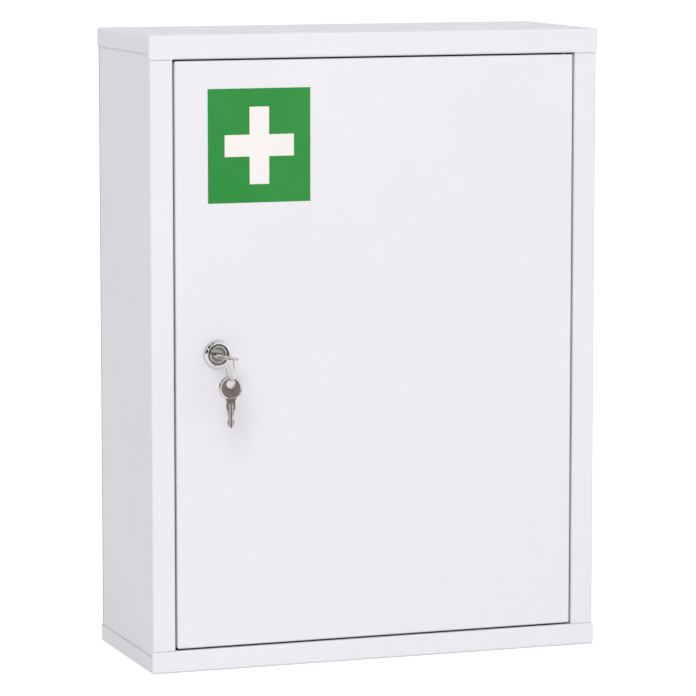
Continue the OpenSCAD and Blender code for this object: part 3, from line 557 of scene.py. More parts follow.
# %% Finishes of the solids
FINISH_OF = {
    powder: ["left_side_panel", "right_side_panel", "back_panel", "top_cap", "bottom_pan",
             "left_shelf_rails", "right_shelf_rails", "lower_shelf", "upper_shelf", "door_panel",
             "door_channel"],
    metals["zinc_plate"]: ["upper_hinge_bracket", "lower_hinge_bracket", "upper_hinge_pin",
                           "lower_hinge_pin", "hinge_pin_clips", "stop_washer", "cam", "spring_washer",
                           "cam_screw"],
    metals["chrome_plate"]: ["lock_barrel", "lock_nut"],
    metals["plug_nickel"]: ["lock_plug"],
    metals["stamped_brass"]: ["lock_wafers"],
    metals["key_nickel"]: ["working_key", "spare_key"],
    metals["drawn_wire"]: ["key_ring"],
    nylon: ["upper_hinge_bush", "lower_hinge_bush"],
    rubber: ["door_bumpers"],
    green_film: ["sign_film"],
    white_film: ["sign_cross"],
}
finish_for = {}
for material, names in FINISH_OF.items():
    for name in names:
        finish_for[name] = material
        for slot in nodes[name].material_slots:
            slot.material = material
print(len(finish_for), "solids dressed of", len(nodes))

# %% [markdown]
# ## From modifiers to plain pieces
# A piece is first a base mesh with modifiers. Once its shape is right, the evaluated result becomes its
# mesh and the modifiers go. Then it takes over from its solid: finish, body and material slot.

# %% Finished pieces
def plain(piece, sharp=None):
    """Turns a piece and its modifiers into one mesh. Given an angle, edges over it stay crisp."""
    graph = bpy.context.evaluated_depsgraph_get()
    mesh = bpy.data.meshes.new_from_object(piece.evaluated_get(graph), depsgraph=graph)
    piece.modifiers.clear()
    piece.data = mesh
    if sharp is not None:
        shape = bmesh.new()
        shape.from_mesh(mesh)
        bmesh.ops.recalc_face_normals(shape, faces=shape.faces)
        shape.to_mesh(mesh)
        shape.free()
        mesh.shade_smooth()
        mesh.set_sharp_from_angle(angle=math.radians(sharp))
    return piece


def stands_for(piece, node):
    """Gives a piece the finish, the body and the slot of the solid that it replaces."""
    piece.data.materials.clear()
    piece.data.materials.append(finish_for[node])
    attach(piece, body_of[node])
    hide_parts(node)
    return piece


def base_piece(name, points=(), edges=(), faces=()):
    """Makes a piece from points in metres."""
    mesh = bpy.data.meshes.new(name)
    mesh.from_pydata([tuple(p) for p in points], edges, faces)
    piece = bpy.data.objects.new(name, mesh)
    bpy.context.scene.collection.objects.link(piece)
    return piece


def grow(piece, tree, **inputs):
    """Runs a Geometry Nodes tree on a piece. Each input is set by its socket's identifier."""
    modifier = piece.modifiers.new(tree.name, "NODES")
    modifier.node_group = tree
    for socket in tree.interface.items_tree:
        label = socket.name.lower().replace(" ", "_")
        if socket.in_out == "INPUT" and label in inputs:
            modifier[socket.identifier] = inputs[label]
    return piece


def box_of(node):
    """Returns the lowest and the highest corner of a solid."""
    low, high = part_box(node)
    return Vector(low), Vector(high)


print("piece helpers ready")

# %% [markdown]
# ## Rounded edges
# No edge of a pressed and coated sheet is a true corner: the shear leaves a small radius and the powder
# pulls back round it. That radius is what draws a thin bright line along each lip. A Bevel node in the
# shader could bend the light alone, but then the outline would stay sharp, so the mesh is rounded. A
# copy of the solid has its loose triangles merged into whole faces first, so that Bevel only meets real
# edges, and weighted normals keep the wide faces flat.

# %% Rounding helpers
SHARP_FROM = math.radians(35)
SLIVER, ALMOST_FLAT = 0.002 * MM, math.radians(0.6)
NARROW_SHARE, FLATNESS = 0.1, 80


def soft_edges(piece, width, segments=2):
    """Adds a bevel on the sharp edges, and weighted normals that keep wide faces flat."""
    bevel = piece.modifiers.new("soft edges", "BEVEL")
    bevel.width, bevel.segments = width, segments
    bevel.limit_method, bevel.angle_limit = "ANGLE", SHARP_FROM
    weighted = piece.modifiers.new("flat faces", "WEIGHTED_NORMAL")
    weighted.weight = FLATNESS
    return piece


def rounded(node, width, wide_at=None, segments=2):
    """Copies a solid and rounds its edges. With a test wide_at, other edges get a tenth of the width."""
    piece = base_piece(node + "_rounded")
    piece.data = nodes[node].data.copy()
    shape = bmesh.new()
    shape.from_mesh(piece.data)
    bmesh.ops.remove_doubles(shape, verts=shape.verts, dist=SLIVER)
    bmesh.ops.dissolve_limit(shape, angle_limit=ALMOST_FLAT, verts=shape.verts, edges=shape.edges)
    share = shape.edges.layers.float.new("bevel_weight_edge")
    for edge in shape.edges:
        wide = wide_at is None or wide_at((edge.verts[0].co + edge.verts[1].co) / 2)
        sharp = edge.calc_face_angle(0.0) >= SHARP_FROM
        edge[share] = (1.0 if wide else NARROW_SHARE) if sharp else 0.0
    for face in shape.faces:
        face.smooth = True
    shape.to_mesh(piece.data)
    shape.free()
    soft_edges(piece, width, segments).modifiers["soft edges"].limit_method = "WEIGHT"
    return stands_for(plain(piece), node)


print("sharp from", round(math.degrees(SHARP_FROM)), "degrees")

# %% [markdown]
# Each width, in millimetres, is what the making leaves: a sheared and coated sheet is rounder than a
# stamped washer, and a thin clip has hardly any radius.

# %% Rounded copies of solids
ROUNDINGS = {"top_cap": 0.22, "bottom_pan": 0.22, "door_panel": 0.22, "back_panel": 0.2,
             "upper_hinge_bracket": 0.3, "lower_hinge_bracket": 0.3, "lock_nut": 0.3, "stop_washer": 0.1,
             "cam": 0.3, "spring_washer": 0.1, "cam_screw": 0.12, "hinge_pin_clips": 0.08,
             "lock_wafers": 0.05}
for node, width in ROUNDINGS.items():
    piece = rounded(node, width * MM)
    print(piece.name, len(piece.data.polygons), "faces")

# %% [markdown]
# The plug of the lock has a turned face with a soft outer edge, but its keyway is cut crisp. So the
# wide rounding is given only to the edges on its face that lie well off the axis.

# %% Plug
PLUG_ROUNDING, FACE_DEPTH, OFF_KEYWAY = 0.42 * MM, 0.1 * MM, 4 * MM
plug_low, plug_high = box_of("lock_plug")
plug_middle = (plug_low + plug_high) / 2


def on_plug_face(point):
    from_axis = math.hypot(point.x - plug_middle.x, point.z - plug_middle.z)
    return point.y < plug_low.y + FACE_DEPTH and from_axis > OFF_KEYWAY


piece = rounded("lock_plug", PLUG_ROUNDING, on_plug_face, 3)
print(piece.name, len(piece.data.polygons), "faces")

# %% [markdown]
# ## Folded sheets
# The side panels, shelves, rails and the channel are each one strip of sheet, folded along parallel
# lines. So one tree makes them all: the base mesh is the path that the fold follows, seen on edge. The
# tree rounds its corners by the folding radius, draws it out along the fold lines and gives it the
# thickness of the sheet on both sides of the path.

# %% Folding tree: the path drawn out
MERGE_WITHIN = 1e-6

folding, fold_in, fold_out = new_group(
    "folded sheet", "GeometryNodeTree",
    {"Path": ("Geometry", None), "Run": ("Vector", (0.0, 0.0, 0.1)), "Thickness": ("Float", 0.0008),
     "Fold Radius": ("Float", 0.0014), "Fold Steps": ("Int", 6), "Finish": ("Material", None)},
    {"Geometry": "Geometry"})
path = add(folding, "GeometryNodeMeshToCurve", {"Mesh": fold_in["Path"]}).outputs["Curve"]
path = add(folding, "GeometryNodeFilletCurve",
           {"Curve": path, "Radius": fold_in["Fold Radius"], "Count": fold_in["Fold Steps"]},
           mode="POLY").outputs["Curve"]
on_edge = add(folding, "GeometryNodeCurveToMesh", {"Curve": path}).outputs["Mesh"]
mid_sheet = add(folding, "GeometryNodeExtrudeMesh",
                {"Mesh": on_edge, "Offset": fold_in["Run"], "Offset Scale": 1.0},
                mode="EDGES").outputs["Mesh"]
print("tree:", folding.name, len(folding.nodes), "nodes so far")

# %% [markdown]
# The thickness could come from a Solidify modifier, but the tree does it itself, so that one set of
# named inputs holds the whole sheet. It moves the middle face in by half the thickness, raises a wall of
# the full thickness on it, and closes the box with the turned-over face.

# %% Folding tree: the thickness
normal = add(folding, "GeometryNodeInputNormal").outputs["Normal"]
half_in = calc(folding, "MULTIPLY", fold_in["Thickness"], -0.5)
inward = add(folding, "ShaderNodeVectorMath", {0: normal, "Scale": half_in}, operation="SCALE")
inner = add(folding, "GeometryNodeSetPosition",
            {"Geometry": mid_sheet, "Offset": inward.outputs["Vector"]}).outputs["Geometry"]
wall = add(folding, "GeometryNodeExtrudeMesh",
           {"Mesh": inner, "Offset Scale": fold_in["Thickness"], "Individual": False},
           mode="FACES").outputs["Mesh"]
back = add(folding, "GeometryNodeFlipFaces", {"Mesh": inner}).outputs["Mesh"]
joined = add(folding, "GeometryNodeJoinGeometry")
for part in (wall, back):
    folding.links.new(part, joined.inputs["Geometry"])
closed = add(folding, "GeometryNodeMergeByDistance",
             {"Geometry": joined.outputs["Geometry"], "Distance": MERGE_WITHIN})
smooth = add(folding, "GeometryNodeSetShadeSmooth", {"Geometry": closed.outputs["Geometry"]})


def end_tree(tree, geometry, finish, output):
    """Ends a tree as each one must: real geometry with the finish on it."""
    real = add(tree, "GeometryNodeRealizeInstances", {"Geometry": geometry}).outputs["Geometry"]
    finished = add(tree, "GeometryNodeSetMaterial", {"Geometry": real, "Material": finish})
    tree.links.new(finished.outputs["Geometry"], output)
    print("tree:", tree.name, len(tree.nodes), "nodes")


end_tree(folding, smooth.outputs["Geometry"], fold_in["Finish"], fold_out["Geometry"])

# %% [markdown]
# Each path is worked out from the box of its solid and a few sizes of the fold: the width of a flange,
# a hem or a foot. One function grows the strip, softens its cut edges and turns it outwards.

# %% Folding a node
SHEET, FOLD_RADIUS, SHEET_EDGE = 0.8 * MM, 1.8 * MM, 0.2 * MM
MID = SHEET / 2


def folded(node, paths, run):
    """Folds the sheet along one or more paths and lets the piece stand for its solid."""
    points, edges = [], []
    for corners in paths:
        edges += [(len(points) + i, len(points) + i + 1) for i in range(len(corners) - 1)]
        points += corners
    piece = grow(base_piece(node + "_folded", points, edges), folding, run=run, thickness=SHEET,
                 fold_radius=FOLD_RADIUS - MID, finish=finish_for[node])
    soft_edges(piece, SHEET_EDGE)
    plain(piece)
    shape = bmesh.new()
    shape.from_mesh(piece.data)
    inside_out = shape.calc_volume(signed=True) < 0
    shape.free()
    if inside_out:
        piece.data.flip_normals()
    print(piece.name, len(piece.data.polygons), "faces, was inside out:", inside_out)
    return stands_for(piece, node)


def upright_path(corners, z):
    """Sets a plan of corners at one height."""
    return [(x, y, z) for x, y in corners]


print("sheet in mm:", SHEET / MM, "folding radius:", FOLD_RADIUS / MM)

# %% [markdown]
# A side panel is a wall with a flange behind, a flange in front and a return behind that. The left one
# goes on to the stop lip that the door shuts against.

# %% Side panels
REAR_FLANGE = 14 * MM
right_low, right_high = box_of("right_side_panel")
left_low, left_high = box_of("left_side_panel")
stop_front = box_of("door_bumpers")[1].y
rear, front = right_high.y - MID, right_low.y + MID
outer, opening = right_high.x, right_low.x
upright = (0, 0, right_high.z - right_low.z)
wall_plan = [(outer - REAR_FLANGE, rear), (outer - MID, rear), (outer - MID, front), (opening + MID, front)]
right_plan = wall_plan + [(opening + MID, stop_front + SHEET)]
folded("right_side_panel", [upright_path(right_plan, right_low.z)], upright)
left_plan = ([(-x, y) for x, y in wall_plan]
             + [(-opening - MID, stop_front + MID), (left_high.x, stop_front + MID)])
folded("left_side_panel", [upright_path(left_plan, left_low.z)], upright)

# %% [markdown]
# A shelf is folded down in front with a hem below, and down behind. It rests on angle rails, one pair to
# a shelf, whose height follows from the shelf and the play between them.

# %% Shelves and their rails
SHELF_HEM, RAIL_FOOT, RAIL_HEIGHT, RAIL_GAP = 7 * MM, 12 * MM, 12 * MM, 0.3 * MM
rail_paths = {"left_shelf_rails": [], "right_shelf_rails": []}
for node in ("lower_shelf", "upper_shelf"):
    low, high = box_of(node)
    profile = [(low.y + SHELF_HEM, low.z + MID), (low.y + MID, low.z + MID), (low.y + MID, high.z - MID),
               (high.y - MID, high.z - MID), (high.y - MID, low.z)]
    folded(node, [[(low.x, y, z) for y, z in profile]], (high.x - low.x, 0, 0))
    foot = high.z - SHEET - RAIL_GAP - MID
    for rails, side in (("left_shelf_rails", -1), ("right_shelf_rails", 1)):
        wall_x, start = outer - SHEET, box_of(rails)[0].y
        rail_paths[rails].append([(side * (wall_x - MID), start, foot - RAIL_HEIGHT),
                                  (side * (wall_x - MID), start, foot),
                                  (side * (wall_x - RAIL_FOOT), start, foot)])
for rails, paths in rail_paths.items():
    low, high = box_of(rails)
    folded(rails, paths, (0, high.y - low.y, 0))

# %% [markdown]
# The channel stiffens the door. Its section is a hat: two feet on the door and a web between them.

# %% Door channel
CHANNEL_FOOT = 12 * MM
channel_low, channel_high = box_of("door_channel")
web = channel_high.x - CHANNEL_FOOT
foot, crown = channel_low.y + MID, channel_high.y - MID
half_hat = [(web, crown), (web, foot), (channel_high.x, foot)]
hat = [(-x, y) for x, y in reversed(half_hat)] + half_hat
folded("door_channel", [upright_path(hat, channel_low.z)], (0, 0, channel_high.z - channel_low.z))

# %% [markdown]
# ## Turned pieces
# The barrel of the lock, the hinge pins, their bushes and the bumpers come off a lathe or out of a round
# mould. One tree turns a profile, a row of points with the radius as x and the distance along the axis as
# z, round that axis. The barrel also has a thread, two flats against turning, and the notch for the
# stop washer. A thread is no more than a radius that rises and falls with distance and angle, so the
# tree bends the same grid of points by three formulas.

# %% Turning tree: a grid of points
turning, turn_in, turn_out = new_group(
    "turned piece", "GeometryNodeTree",
    {"Profile": ("Geometry", None), "Steps": ("Int", 64), "Thread Radius": ("Float", 1.0),
     "Pitch": ("Float", 0.001), "Thread Depth": ("Float", 0.0), "Half Flats": ("Float", 1.0),
     "Notch From": ("Float", 0.0), "Notch To": ("Float", 0.0), "Notch Floor": ("Float", 1.0),
     "Finish": ("Material", None)},
    {"Geometry": "Geometry"})


def turn_calc(operation, *values):
    return calc(turning, operation, *values)


count = add(turning, "GeometryNodeAttributeDomainSize", {"Geometry": turn_in["Profile"]})
rows = count.outputs["Point Count"]
columns = turn_calc("ADD", turn_in["Steps"], 1)
grid = add(turning, "GeometryNodeMeshGrid", {"Vertices X": columns, "Vertices Y": rows}).outputs["Mesh"]
index = add(turning, "GeometryNodeInputIndex").outputs["Index"]
share = turn_calc("DIVIDE", turn_calc("FLOOR", turn_calc("DIVIDE", index, rows)), turn_in["Steps"])
angle = turn_calc("MULTIPLY", share, math.tau)
position = add(turning, "GeometryNodeInputPosition").outputs[0]
profile_point = add(turning, "GeometryNodeSampleIndex",
                    {"Geometry": turn_in["Profile"], "Value": position,
                     "Index": turn_calc("MODULO", index, rows)}, data_type="FLOAT_VECTOR").outputs["Value"]
profile_xyz = add(turning, "ShaderNodeSeparateXYZ", {"Vector": profile_point}).outputs
radius, along = profile_xyz["X"], profile_xyz["Z"]
print("tree:", turning.name, len(turning.nodes), "nodes so far")

# %% [markdown]
# The thread. At any point the number of turns since the face, less the share of the present turn, gives
# the place in the wave. The wave cuts only behind the rim and only the outer wall.

# %% Turning tree: the thread
BEHIND_FACE = 1e-5
behind_rim = turn_calc("GREATER_THAN", along, BEHIND_FACE)
turns = turn_calc("SUBTRACT", turn_calc("DIVIDE", along, turn_in["Pitch"]), share)
wave = turn_calc("PINGPONG", turn_calc("MULTIPLY", turn_calc("FRACT", turns), 2.0), 1.0)
outside = turn_calc("GREATER_THAN", radius, turn_in["Thread Radius"])
cut = turn_calc("MULTIPLY", wave, turn_in["Thread Depth"])
cut = turn_calc("MULTIPLY", cut, turn_calc("MULTIPLY", behind_rim, outside))
cut_radius = turn_calc("SUBTRACT", radius, cut)
print("tree:", turning.name, len(turning.nodes), "nodes so far")

# %% [markdown]
# The flats and the notch. A flat is a limit on how far a point may stand off the axis to one side, and
# the notch is a limit on how far along the axis it may lie between two angles.

# %% Turning tree: flats and notch
across = turn_calc("MULTIPLY", cut_radius, turn_calc("SINE", angle))
flat_limit = turn_calc("SUBTRACT", 1.0,
                       turn_calc("MULTIPLY", behind_rim, turn_calc("SUBTRACT", 1.0, turn_in["Half Flats"])))
flattened = turn_calc("MAXIMUM", turn_calc("MINIMUM", across, flat_limit),
                      turn_calc("MULTIPLY", flat_limit, -1.0))
in_notch = turn_calc("MULTIPLY", turn_calc("GREATER_THAN", angle, turn_in["Notch From"]),
                     turn_calc("LESS_THAN", angle, turn_in["Notch To"]))
notch_cut = turn_calc("MULTIPLY", in_notch, turn_calc("SUBTRACT", 1.0, turn_in["Notch Floor"]))
notched = turn_calc("MINIMUM", along, turn_calc("SUBTRACT", 1.0, notch_cut))
turned_point = add(turning, "ShaderNodeCombineXYZ",
                   {"X": turn_calc("MULTIPLY", cut_radius, turn_calc("COSINE", angle)),
                    "Y": flattened, "Z": notched}).outputs["Vector"]
bent = add(turning, "GeometryNodeSetPosition", {"Geometry": grid, "Position": turned_point})
sewn = add(turning, "GeometryNodeMergeByDistance",
           {"Geometry": bent.outputs["Geometry"], "Distance": MERGE_WITHIN}).outputs["Geometry"]
end_tree(turning, sewn, turn_in["Finish"], turn_out["Geometry"])

# %% [markdown]
# A profile mixes corners with rounded stretches. `arc` gives the points of a rounding, and `turned`
# turns the profile and carries the piece to its place with a matrix. A Spin in edit mode would do as
# much for a plain piece, but not for the threaded one.

# %% Profiles
def arc(x, z, radius, start, end, steps=8):
    """Points on an arc about (x, z), with the angles in degrees from +x towards +z."""
    angles = [math.radians(start + (end - start) * i / steps) for i in range(steps + 1)]
    return [(x + radius * math.cos(a), z + radius * math.sin(a)) for a in angles]


def turned(name, profile, matrix, steps=64, sharp=32, **inputs):
    """Turns a profile in millimetres and returns a plain piece in its place."""
    points = [(r * MM, 0, z * MM) for r, z in profile]
    edges = [(i, i + 1) for i in range(len(points) - 1)]
    piece = plain(grow(base_piece(name, points, edges), turning, steps=steps, **inputs), sharp)
    piece.data.transform(matrix)
    return piece


def along_z(x, y, z, downward=False):
    """Stands a turned piece upright at a point in metres, or hangs it upside down."""
    return Matrix.Translation((x, y, z)) @ Matrix.Rotation(math.pi if downward else 0, 4, "X")


print("an arc of 3 steps:", [tuple(round(v, 2) for v in p) for p in arc(0, 0, 1, 0, 90, 3)])

# %% [markdown]
# ### Hinge pins and bushes
# A headed pin with a groove for its clip goes up through the bracket and the door into a closed nylon
# bush. The lower hinge is the same set upside down. Both parts could be stacked from cylinders, but one
# turned profile gives the chamfers and the groove without a seam.

# %% Hinge pins
PIN_R, PIN_HEAD_R, PIN_HEAD_T, PIN_CHAMFER = 1.5, 3.2, 1.2, 0.4
CLIP_GROOVE_AT, CLIP_GROOVE_W, CLIP_GROOVE_DEPTH = 1.6, 0.7, 0.35
SMALL_STEPS = 40


def pin_profile(length):
    groove = PIN_HEAD_T + CLIP_GROOVE_AT
    return ([(0, 0)] + arc(PIN_HEAD_R - PIN_CHAMFER, PIN_CHAMFER, PIN_CHAMFER, -90, 0, 4)
            + [(PIN_HEAD_R, PIN_HEAD_T), (PIN_R, PIN_HEAD_T), (PIN_R, groove),
               (PIN_R - CLIP_GROOVE_DEPTH, groove), (PIN_R - CLIP_GROOVE_DEPTH, groove + CLIP_GROOVE_W),
               (PIN_R, groove + CLIP_GROOVE_W)]
            + arc(PIN_R - PIN_CHAMFER, length - PIN_CHAMFER, PIN_CHAMFER, 0, 90, 4) + [(0, length)])


def hinge_part(node, profile_of, upside_down):
    """Turns a profile of the solid's own length and stands it in the solid's place."""
    low, high = box_of(node)
    length, middle = (high.z - low.z) / MM, (low + high) / 2
    place = along_z(middle.x, middle.y, high.z if upside_down else low.z, upside_down)
    piece = stands_for(turned(node + "_turned", profile_of(length), place, steps=SMALL_STEPS), node)
    print(piece.name, "length in mm:", round(length, 2))


hinge_part("upper_hinge_pin", pin_profile, False)
hinge_part("lower_hinge_pin", pin_profile, True)

# %% [markdown]
# The bush is a moulded cup. Its collar lies on the side of the sheet that faces away from the door, and
# its floor keeps dust off the end of the pin.

# %% Hinge bushes
BUSH_R, BUSH_BORE, COLLAR_R, COLLAR_T, BUSH_FLOOR = 2.5, 1.55, 3.3, 0.7, 0.8
MOUTH_CHAMFER, COLLAR_ROUND, BUSH_ROUND = 0.2, 0.3, 0.4


def bush_profile(length):
    sheet = SHEET / MM
    collar_top = sheet + COLLAR_T
    return ([(0, length - BUSH_FLOOR), (BUSH_BORE, length - BUSH_FLOOR), (BUSH_BORE, MOUTH_CHAMFER),
             (BUSH_BORE + MOUTH_CHAMFER, 0), (BUSH_R, 0), (BUSH_R, sheet), (COLLAR_R, sheet)]
            + arc(COLLAR_R - COLLAR_ROUND, collar_top - COLLAR_ROUND, COLLAR_ROUND, 0, 90, 4)
            + [(BUSH_R, collar_top)]
            + arc(BUSH_R - BUSH_ROUND, length - BUSH_ROUND, BUSH_ROUND, 0, 90, 4) + [(0, length)])


hinge_part("upper_hinge_bush", bush_profile, False)
hinge_part("lower_hinge_bush", bush_profile, True)

# %% [markdown]
# ### Bumpers
# Two small rubber domes on the stop lip keep the door from rattling. They could be spheres cut flat, but
# a moulded dome has a short upright foot, so they are turned too. Both belong to one solid, so they are
# joined into one piece.

# %% Bumpers
def joined_pieces(pieces, name):
    """Joins pieces into one mesh and removes them."""
    shape = bmesh.new()
    for piece in pieces:
        shape.from_mesh(piece.data)
        bpy.data.objects.remove(piece)
    whole = base_piece(name)
    shape.to_mesh(whole.data)
    shape.free()
    return whole


BUMPER_FOOT, BUMPER_ROUND = 0.4, 1.1
low, high = box_of("door_bumpers")
bumper_r = (high.x - low.x) / 2 / MM
bumper_t = (high.y - low.y) / MM
dome = ([(0, 0), (bumper_r, 0), (bumper_r, BUMPER_FOOT)]
        + arc(bumper_r - BUMPER_ROUND, BUMPER_FOOT, bumper_t - BUMPER_FOOT, 0, 90) + [(0, bumper_t)])
bumpers = []
for z in (low.z + bumper_r * MM, high.z - bumper_r * MM):
    on_lip = Matrix.Translation(((low.x + high.x) / 2, high.y, z))
    facing_door = on_lip @ Matrix.Rotation(math.pi / 2, 4, "X")
    bumpers.append(turned("bumper", dome, facing_door, steps=32))
bumpers = joined_pieces(bumpers, "door_bumpers_turned")
stands_for(bumpers, "door_bumpers")
print(bumpers.name, len(bumpers.data.polygons), "faces")

# %% [markdown]
# ### Barrel of the lock
# A cam lock's barrel is a casting that is turned, threaded, milled flat on two sides and plated. The
# lock's own frame has z into the cabinet and y down, with its origin on the door face. The profile
# starts in the bore, runs over the recess and the domed rim, along the threaded body and back into the
# bore, so that the mesh closes on itself.

# %% Place of the lock
RIM_R, RIM_H, RIM_DOME = 10.0, 3.2, 2.2
RIM_FOOT, RECESS_EDGE = 0.3, 0.15
RECESS_R, RECESS_AT, BORE_R = 7.4, -1.4, 6.3

barrel_low, barrel_high = box_of("lock_barrel")
door_face = barrel_low.y + RIM_H * MM
lock_x, lock_z = (barrel_low.x + barrel_high.x) / 2, (barrel_low.z + barrel_high.z) / 2
lock_frame = Matrix(((1, 0, 0, lock_x), (0, 0, 1, door_face), (0, -1, 0, lock_z), (0, 0, 0, 1)))
print("lock at, in mm:", [round(v / MM, 2) for v in lock_frame.translation])

# %% [markdown]
# The thread needs several points to a turn to keep its crests, and the rim needs many small steps,
# because a chromed dome shows every facet.

# %% Barrel
BODY_R, HALF_FLATS = 8.0, 7.0
THREAD_PITCH, THREAD_DEPTH, THREAD_SAMPLES, THREAD_SKIN = 1.0, 0.5, 8, 0.1
NOTCH_FROM, NOTCH_TO, NOTCH_DEPTH = 109, 225, 1.5
END_CHAMFER, BARREL_STEPS, BARREL_SHARP = 0.5, 96, 30

body_end = (barrel_high.y - door_face) / MM
thread_rows = int(body_end / THREAD_PITCH * THREAD_SAMPLES)
recess = [(BORE_R, body_end), (BORE_R, RECESS_AT), (RECESS_R, RECESS_AT),
          (RECESS_R, -RIM_H + RECESS_EDGE), (RECESS_R + RECESS_EDGE, -RIM_H)]
rim = (arc(RIM_R - RIM_DOME, -RIM_H + RIM_DOME, RIM_DOME, -90, 0, 14)
       + arc(RIM_R - RIM_FOOT, -RIM_FOOT, RIM_FOOT, 0, 90, 3))
body = [(BODY_R, body_end * i / thread_rows) for i in range(thread_rows + 1)]
rear_end = [(BODY_R - END_CHAMFER, body_end), (BORE_R, body_end)]
barrel = turned("lock_barrel_turned", recess + rim + body + rear_end, lock_frame, steps=BARREL_STEPS,
                sharp=BARREL_SHARP, thread_radius=(BODY_R - THREAD_SKIN) * MM, pitch=THREAD_PITCH * MM,
                thread_depth=THREAD_DEPTH * MM, half_flats=HALF_FLATS * MM,
                notch_from=math.radians(NOTCH_FROM), notch_to=math.radians(NOTCH_TO),
                notch_floor=(body_end - NOTCH_DEPTH) * MM)
stands_for(barrel, "lock_barrel")
print(barrel.name, "body in mm:", round(body_end, 2), "faces:", len(barrel.data.polygons))

# %% [markdown]
# ## Keys
# A stamped key is a flat blank, but its head isn't plain: a rounded border and a rounded ring about the
# hole stand up from a thinner field, which is what makes it read as a key from afar. The head is turned,
# the ring is turned about the hole, neck and blade are cut from plates, and Boolean modifiers weld them
# into one solid. Two grooves run along each face of the blade. Sculpting the border would be quicker,
# but turning keeps it even all round.

# %% Plates and cuts
PLATE_SHARP = 30


def plate(name, outline, low, high, edge=0.0):
    """A flat plate with a mirrored outline of (distance along the key, half width), edges softened."""
    corners = [(w, y) for y, w in outline] + [(-w, y) for y, w in reversed(outline)]
    count = len(corners)
    points = [(x * MM, y * MM, z * MM) for z in (low, high) for x, y in corners]
    faces = [tuple(range(count))[::-1], tuple(range(count, 2 * count))]
    faces += [(i, (i + 1) % count, count + (i + 1) % count, count + i) for i in range(count)]
    piece = base_piece(name, points, (), faces)
    if edge:
        soft_edges(piece, edge * MM)
    return plain(piece, PLATE_SHARP)


def carve(piece, tool, operation):
    """Joins a tool to a piece or cuts it out, and removes the tool."""
    modifier = piece.modifiers.new(operation.lower(), "BOOLEAN")
    modifier.operation, modifier.solver, modifier.object = operation, "EXACT", tool
    plain(piece)
    bpy.data.objects.remove(tool)


print("key helpers ready")

# %% [markdown]
# The head. Its profile holds the thin field and the rounded border, and the hole with its own ring is
# set off the middle, towards the far end from the blade.

# %% Key head
HEAD_R, HOLE_R, HOLE_OFFSET, HOLE_ROUND = 8.9, 2.5, 3.3, 0.5
KEY_HALF, FIELD_HALF = 0.9, 0.55
FIELD_EDGE, BORDER_ROUND, HOLE_OVERLAP, THROUGH = 1.9, 0.9, 0.4, 3
AT_REST = Matrix.Identity(4)


def both_faces(profile):
    """Adds the lower face's half to a profile of the upper face."""
    return profile + [(r, -z) for r, z in reversed(profile)]


border = arc(HEAD_R - BORDER_ROUND, KEY_HALF - BORDER_ROUND, BORDER_ROUND, 125, 20, 8)
head_profile = both_faces([(0, FIELD_HALF), (HEAD_R - FIELD_EDGE, FIELD_HALF)] + border)
key = turned("key", head_profile, AT_REST, steps=96)
hole_edge = HOLE_R + HOLE_OVERLAP
hole_place = Matrix.Translation((0, -HOLE_OFFSET * MM, 0))
hole_profile = [(0, -THROUGH), (hole_edge, -THROUGH), (hole_edge, THROUGH), (0, THROUGH)]
hole = turned("hole", hole_profile, hole_place, steps=48)
carve(key, hole, "DIFFERENCE")
ring_top = arc(HOLE_R + HOLE_ROUND, KEY_HALF - HOLE_ROUND, HOLE_ROUND, 20, 160, 10)
carve(key, turned("hole_ring", both_faces(ring_top) + ring_top[:1], hole_place, steps=48), "UNION")
print("head:", len(key.data.polygons), "faces")

# %% [markdown]
# Neck and blade. The cuts of the blade are given as half widths, alike on both edges, and the grooves
# are narrow plates that are cut out of both faces.

# %% Key neck and blade
NECK_HALF_W, NECK_START, NECK_END, NECK_FLARE, SHOULDER = 3.4, 7.0, 11.2, 1.3, 15.4
BLADE = [(0, 2.6), (1.4, 2.5), (2.2, 2.1), (3.4, 2.3), (4.8, 1.7), (5.6, 1.9), (6.8, 1.6), (8.2, 2.4),
         (10, 2.5), (11.6, 1.9), (12.7, 1.0), (13.2, 0.4)]
BLADE_HALF, NECK_EDGE, BLADE_EDGE, OVERLAP = 0.85, 0.3, 0.15, 1
GROOVES, GROOVE_W, GROOVE_DEPTH = (-0.75, 1.45), 1.0, 0.42
GROOVE_FLOOR = BLADE_HALF - GROOVE_DEPTH

neck = [(NECK_START, NECK_HALF_W + NECK_FLARE), ((NECK_START + NECK_END) / 2, NECK_HALF_W),
        (NECK_END, NECK_HALF_W)]
carve(key, plate("neck", neck, -KEY_HALF, KEY_HALF, NECK_EDGE), "UNION")
blade_outline = ([(NECK_END - OVERLAP, NECK_HALF_W), (SHOULDER, NECK_HALF_W)]
                 + [(SHOULDER + y, w) for y, w in BLADE])
blade = plate("blade", blade_outline, -BLADE_HALF, BLADE_HALF, BLADE_EDGE)
groove_outline = [(NECK_END, GROOVE_W / 2), (SHOULDER + BLADE[-1][0] + OVERLAP, GROOVE_W / 2)]
for x in GROOVES:
    for side in (-1, 1):
        depth = sorted((side * GROOVE_FLOOR, side * (BLADE_HALF + OVERLAP)))
        groove = plate("groove", groove_outline, *depth)
        groove.data.transform(Matrix.Translation((x * MM, 0, 0)))
        carve(blade, groove, "DIFFERENCE")
carve(key, blade, "UNION")
print("key:", len(key.data.polygons), "faces, length in mm:", round(key.dimensions.y / MM, 1))

# %% [markdown]
# Booleans leave tiny slivers, and on bright metal each sliver is a streak. So near points are merged and
# flat neighbours dissolved. Then every edge between a level face and a sloping one is made crisp, which
# keeps the field, the neck and the blade flat beside their rounded borders.

# %% Key cleaned
CLEAN_WITHIN, NO_LENGTH, NO_ANGLE = 0.003 * MM, 0.002 * MM, math.radians(0.5)
KEY_SHARP, LEVEL = 15, 0.9995

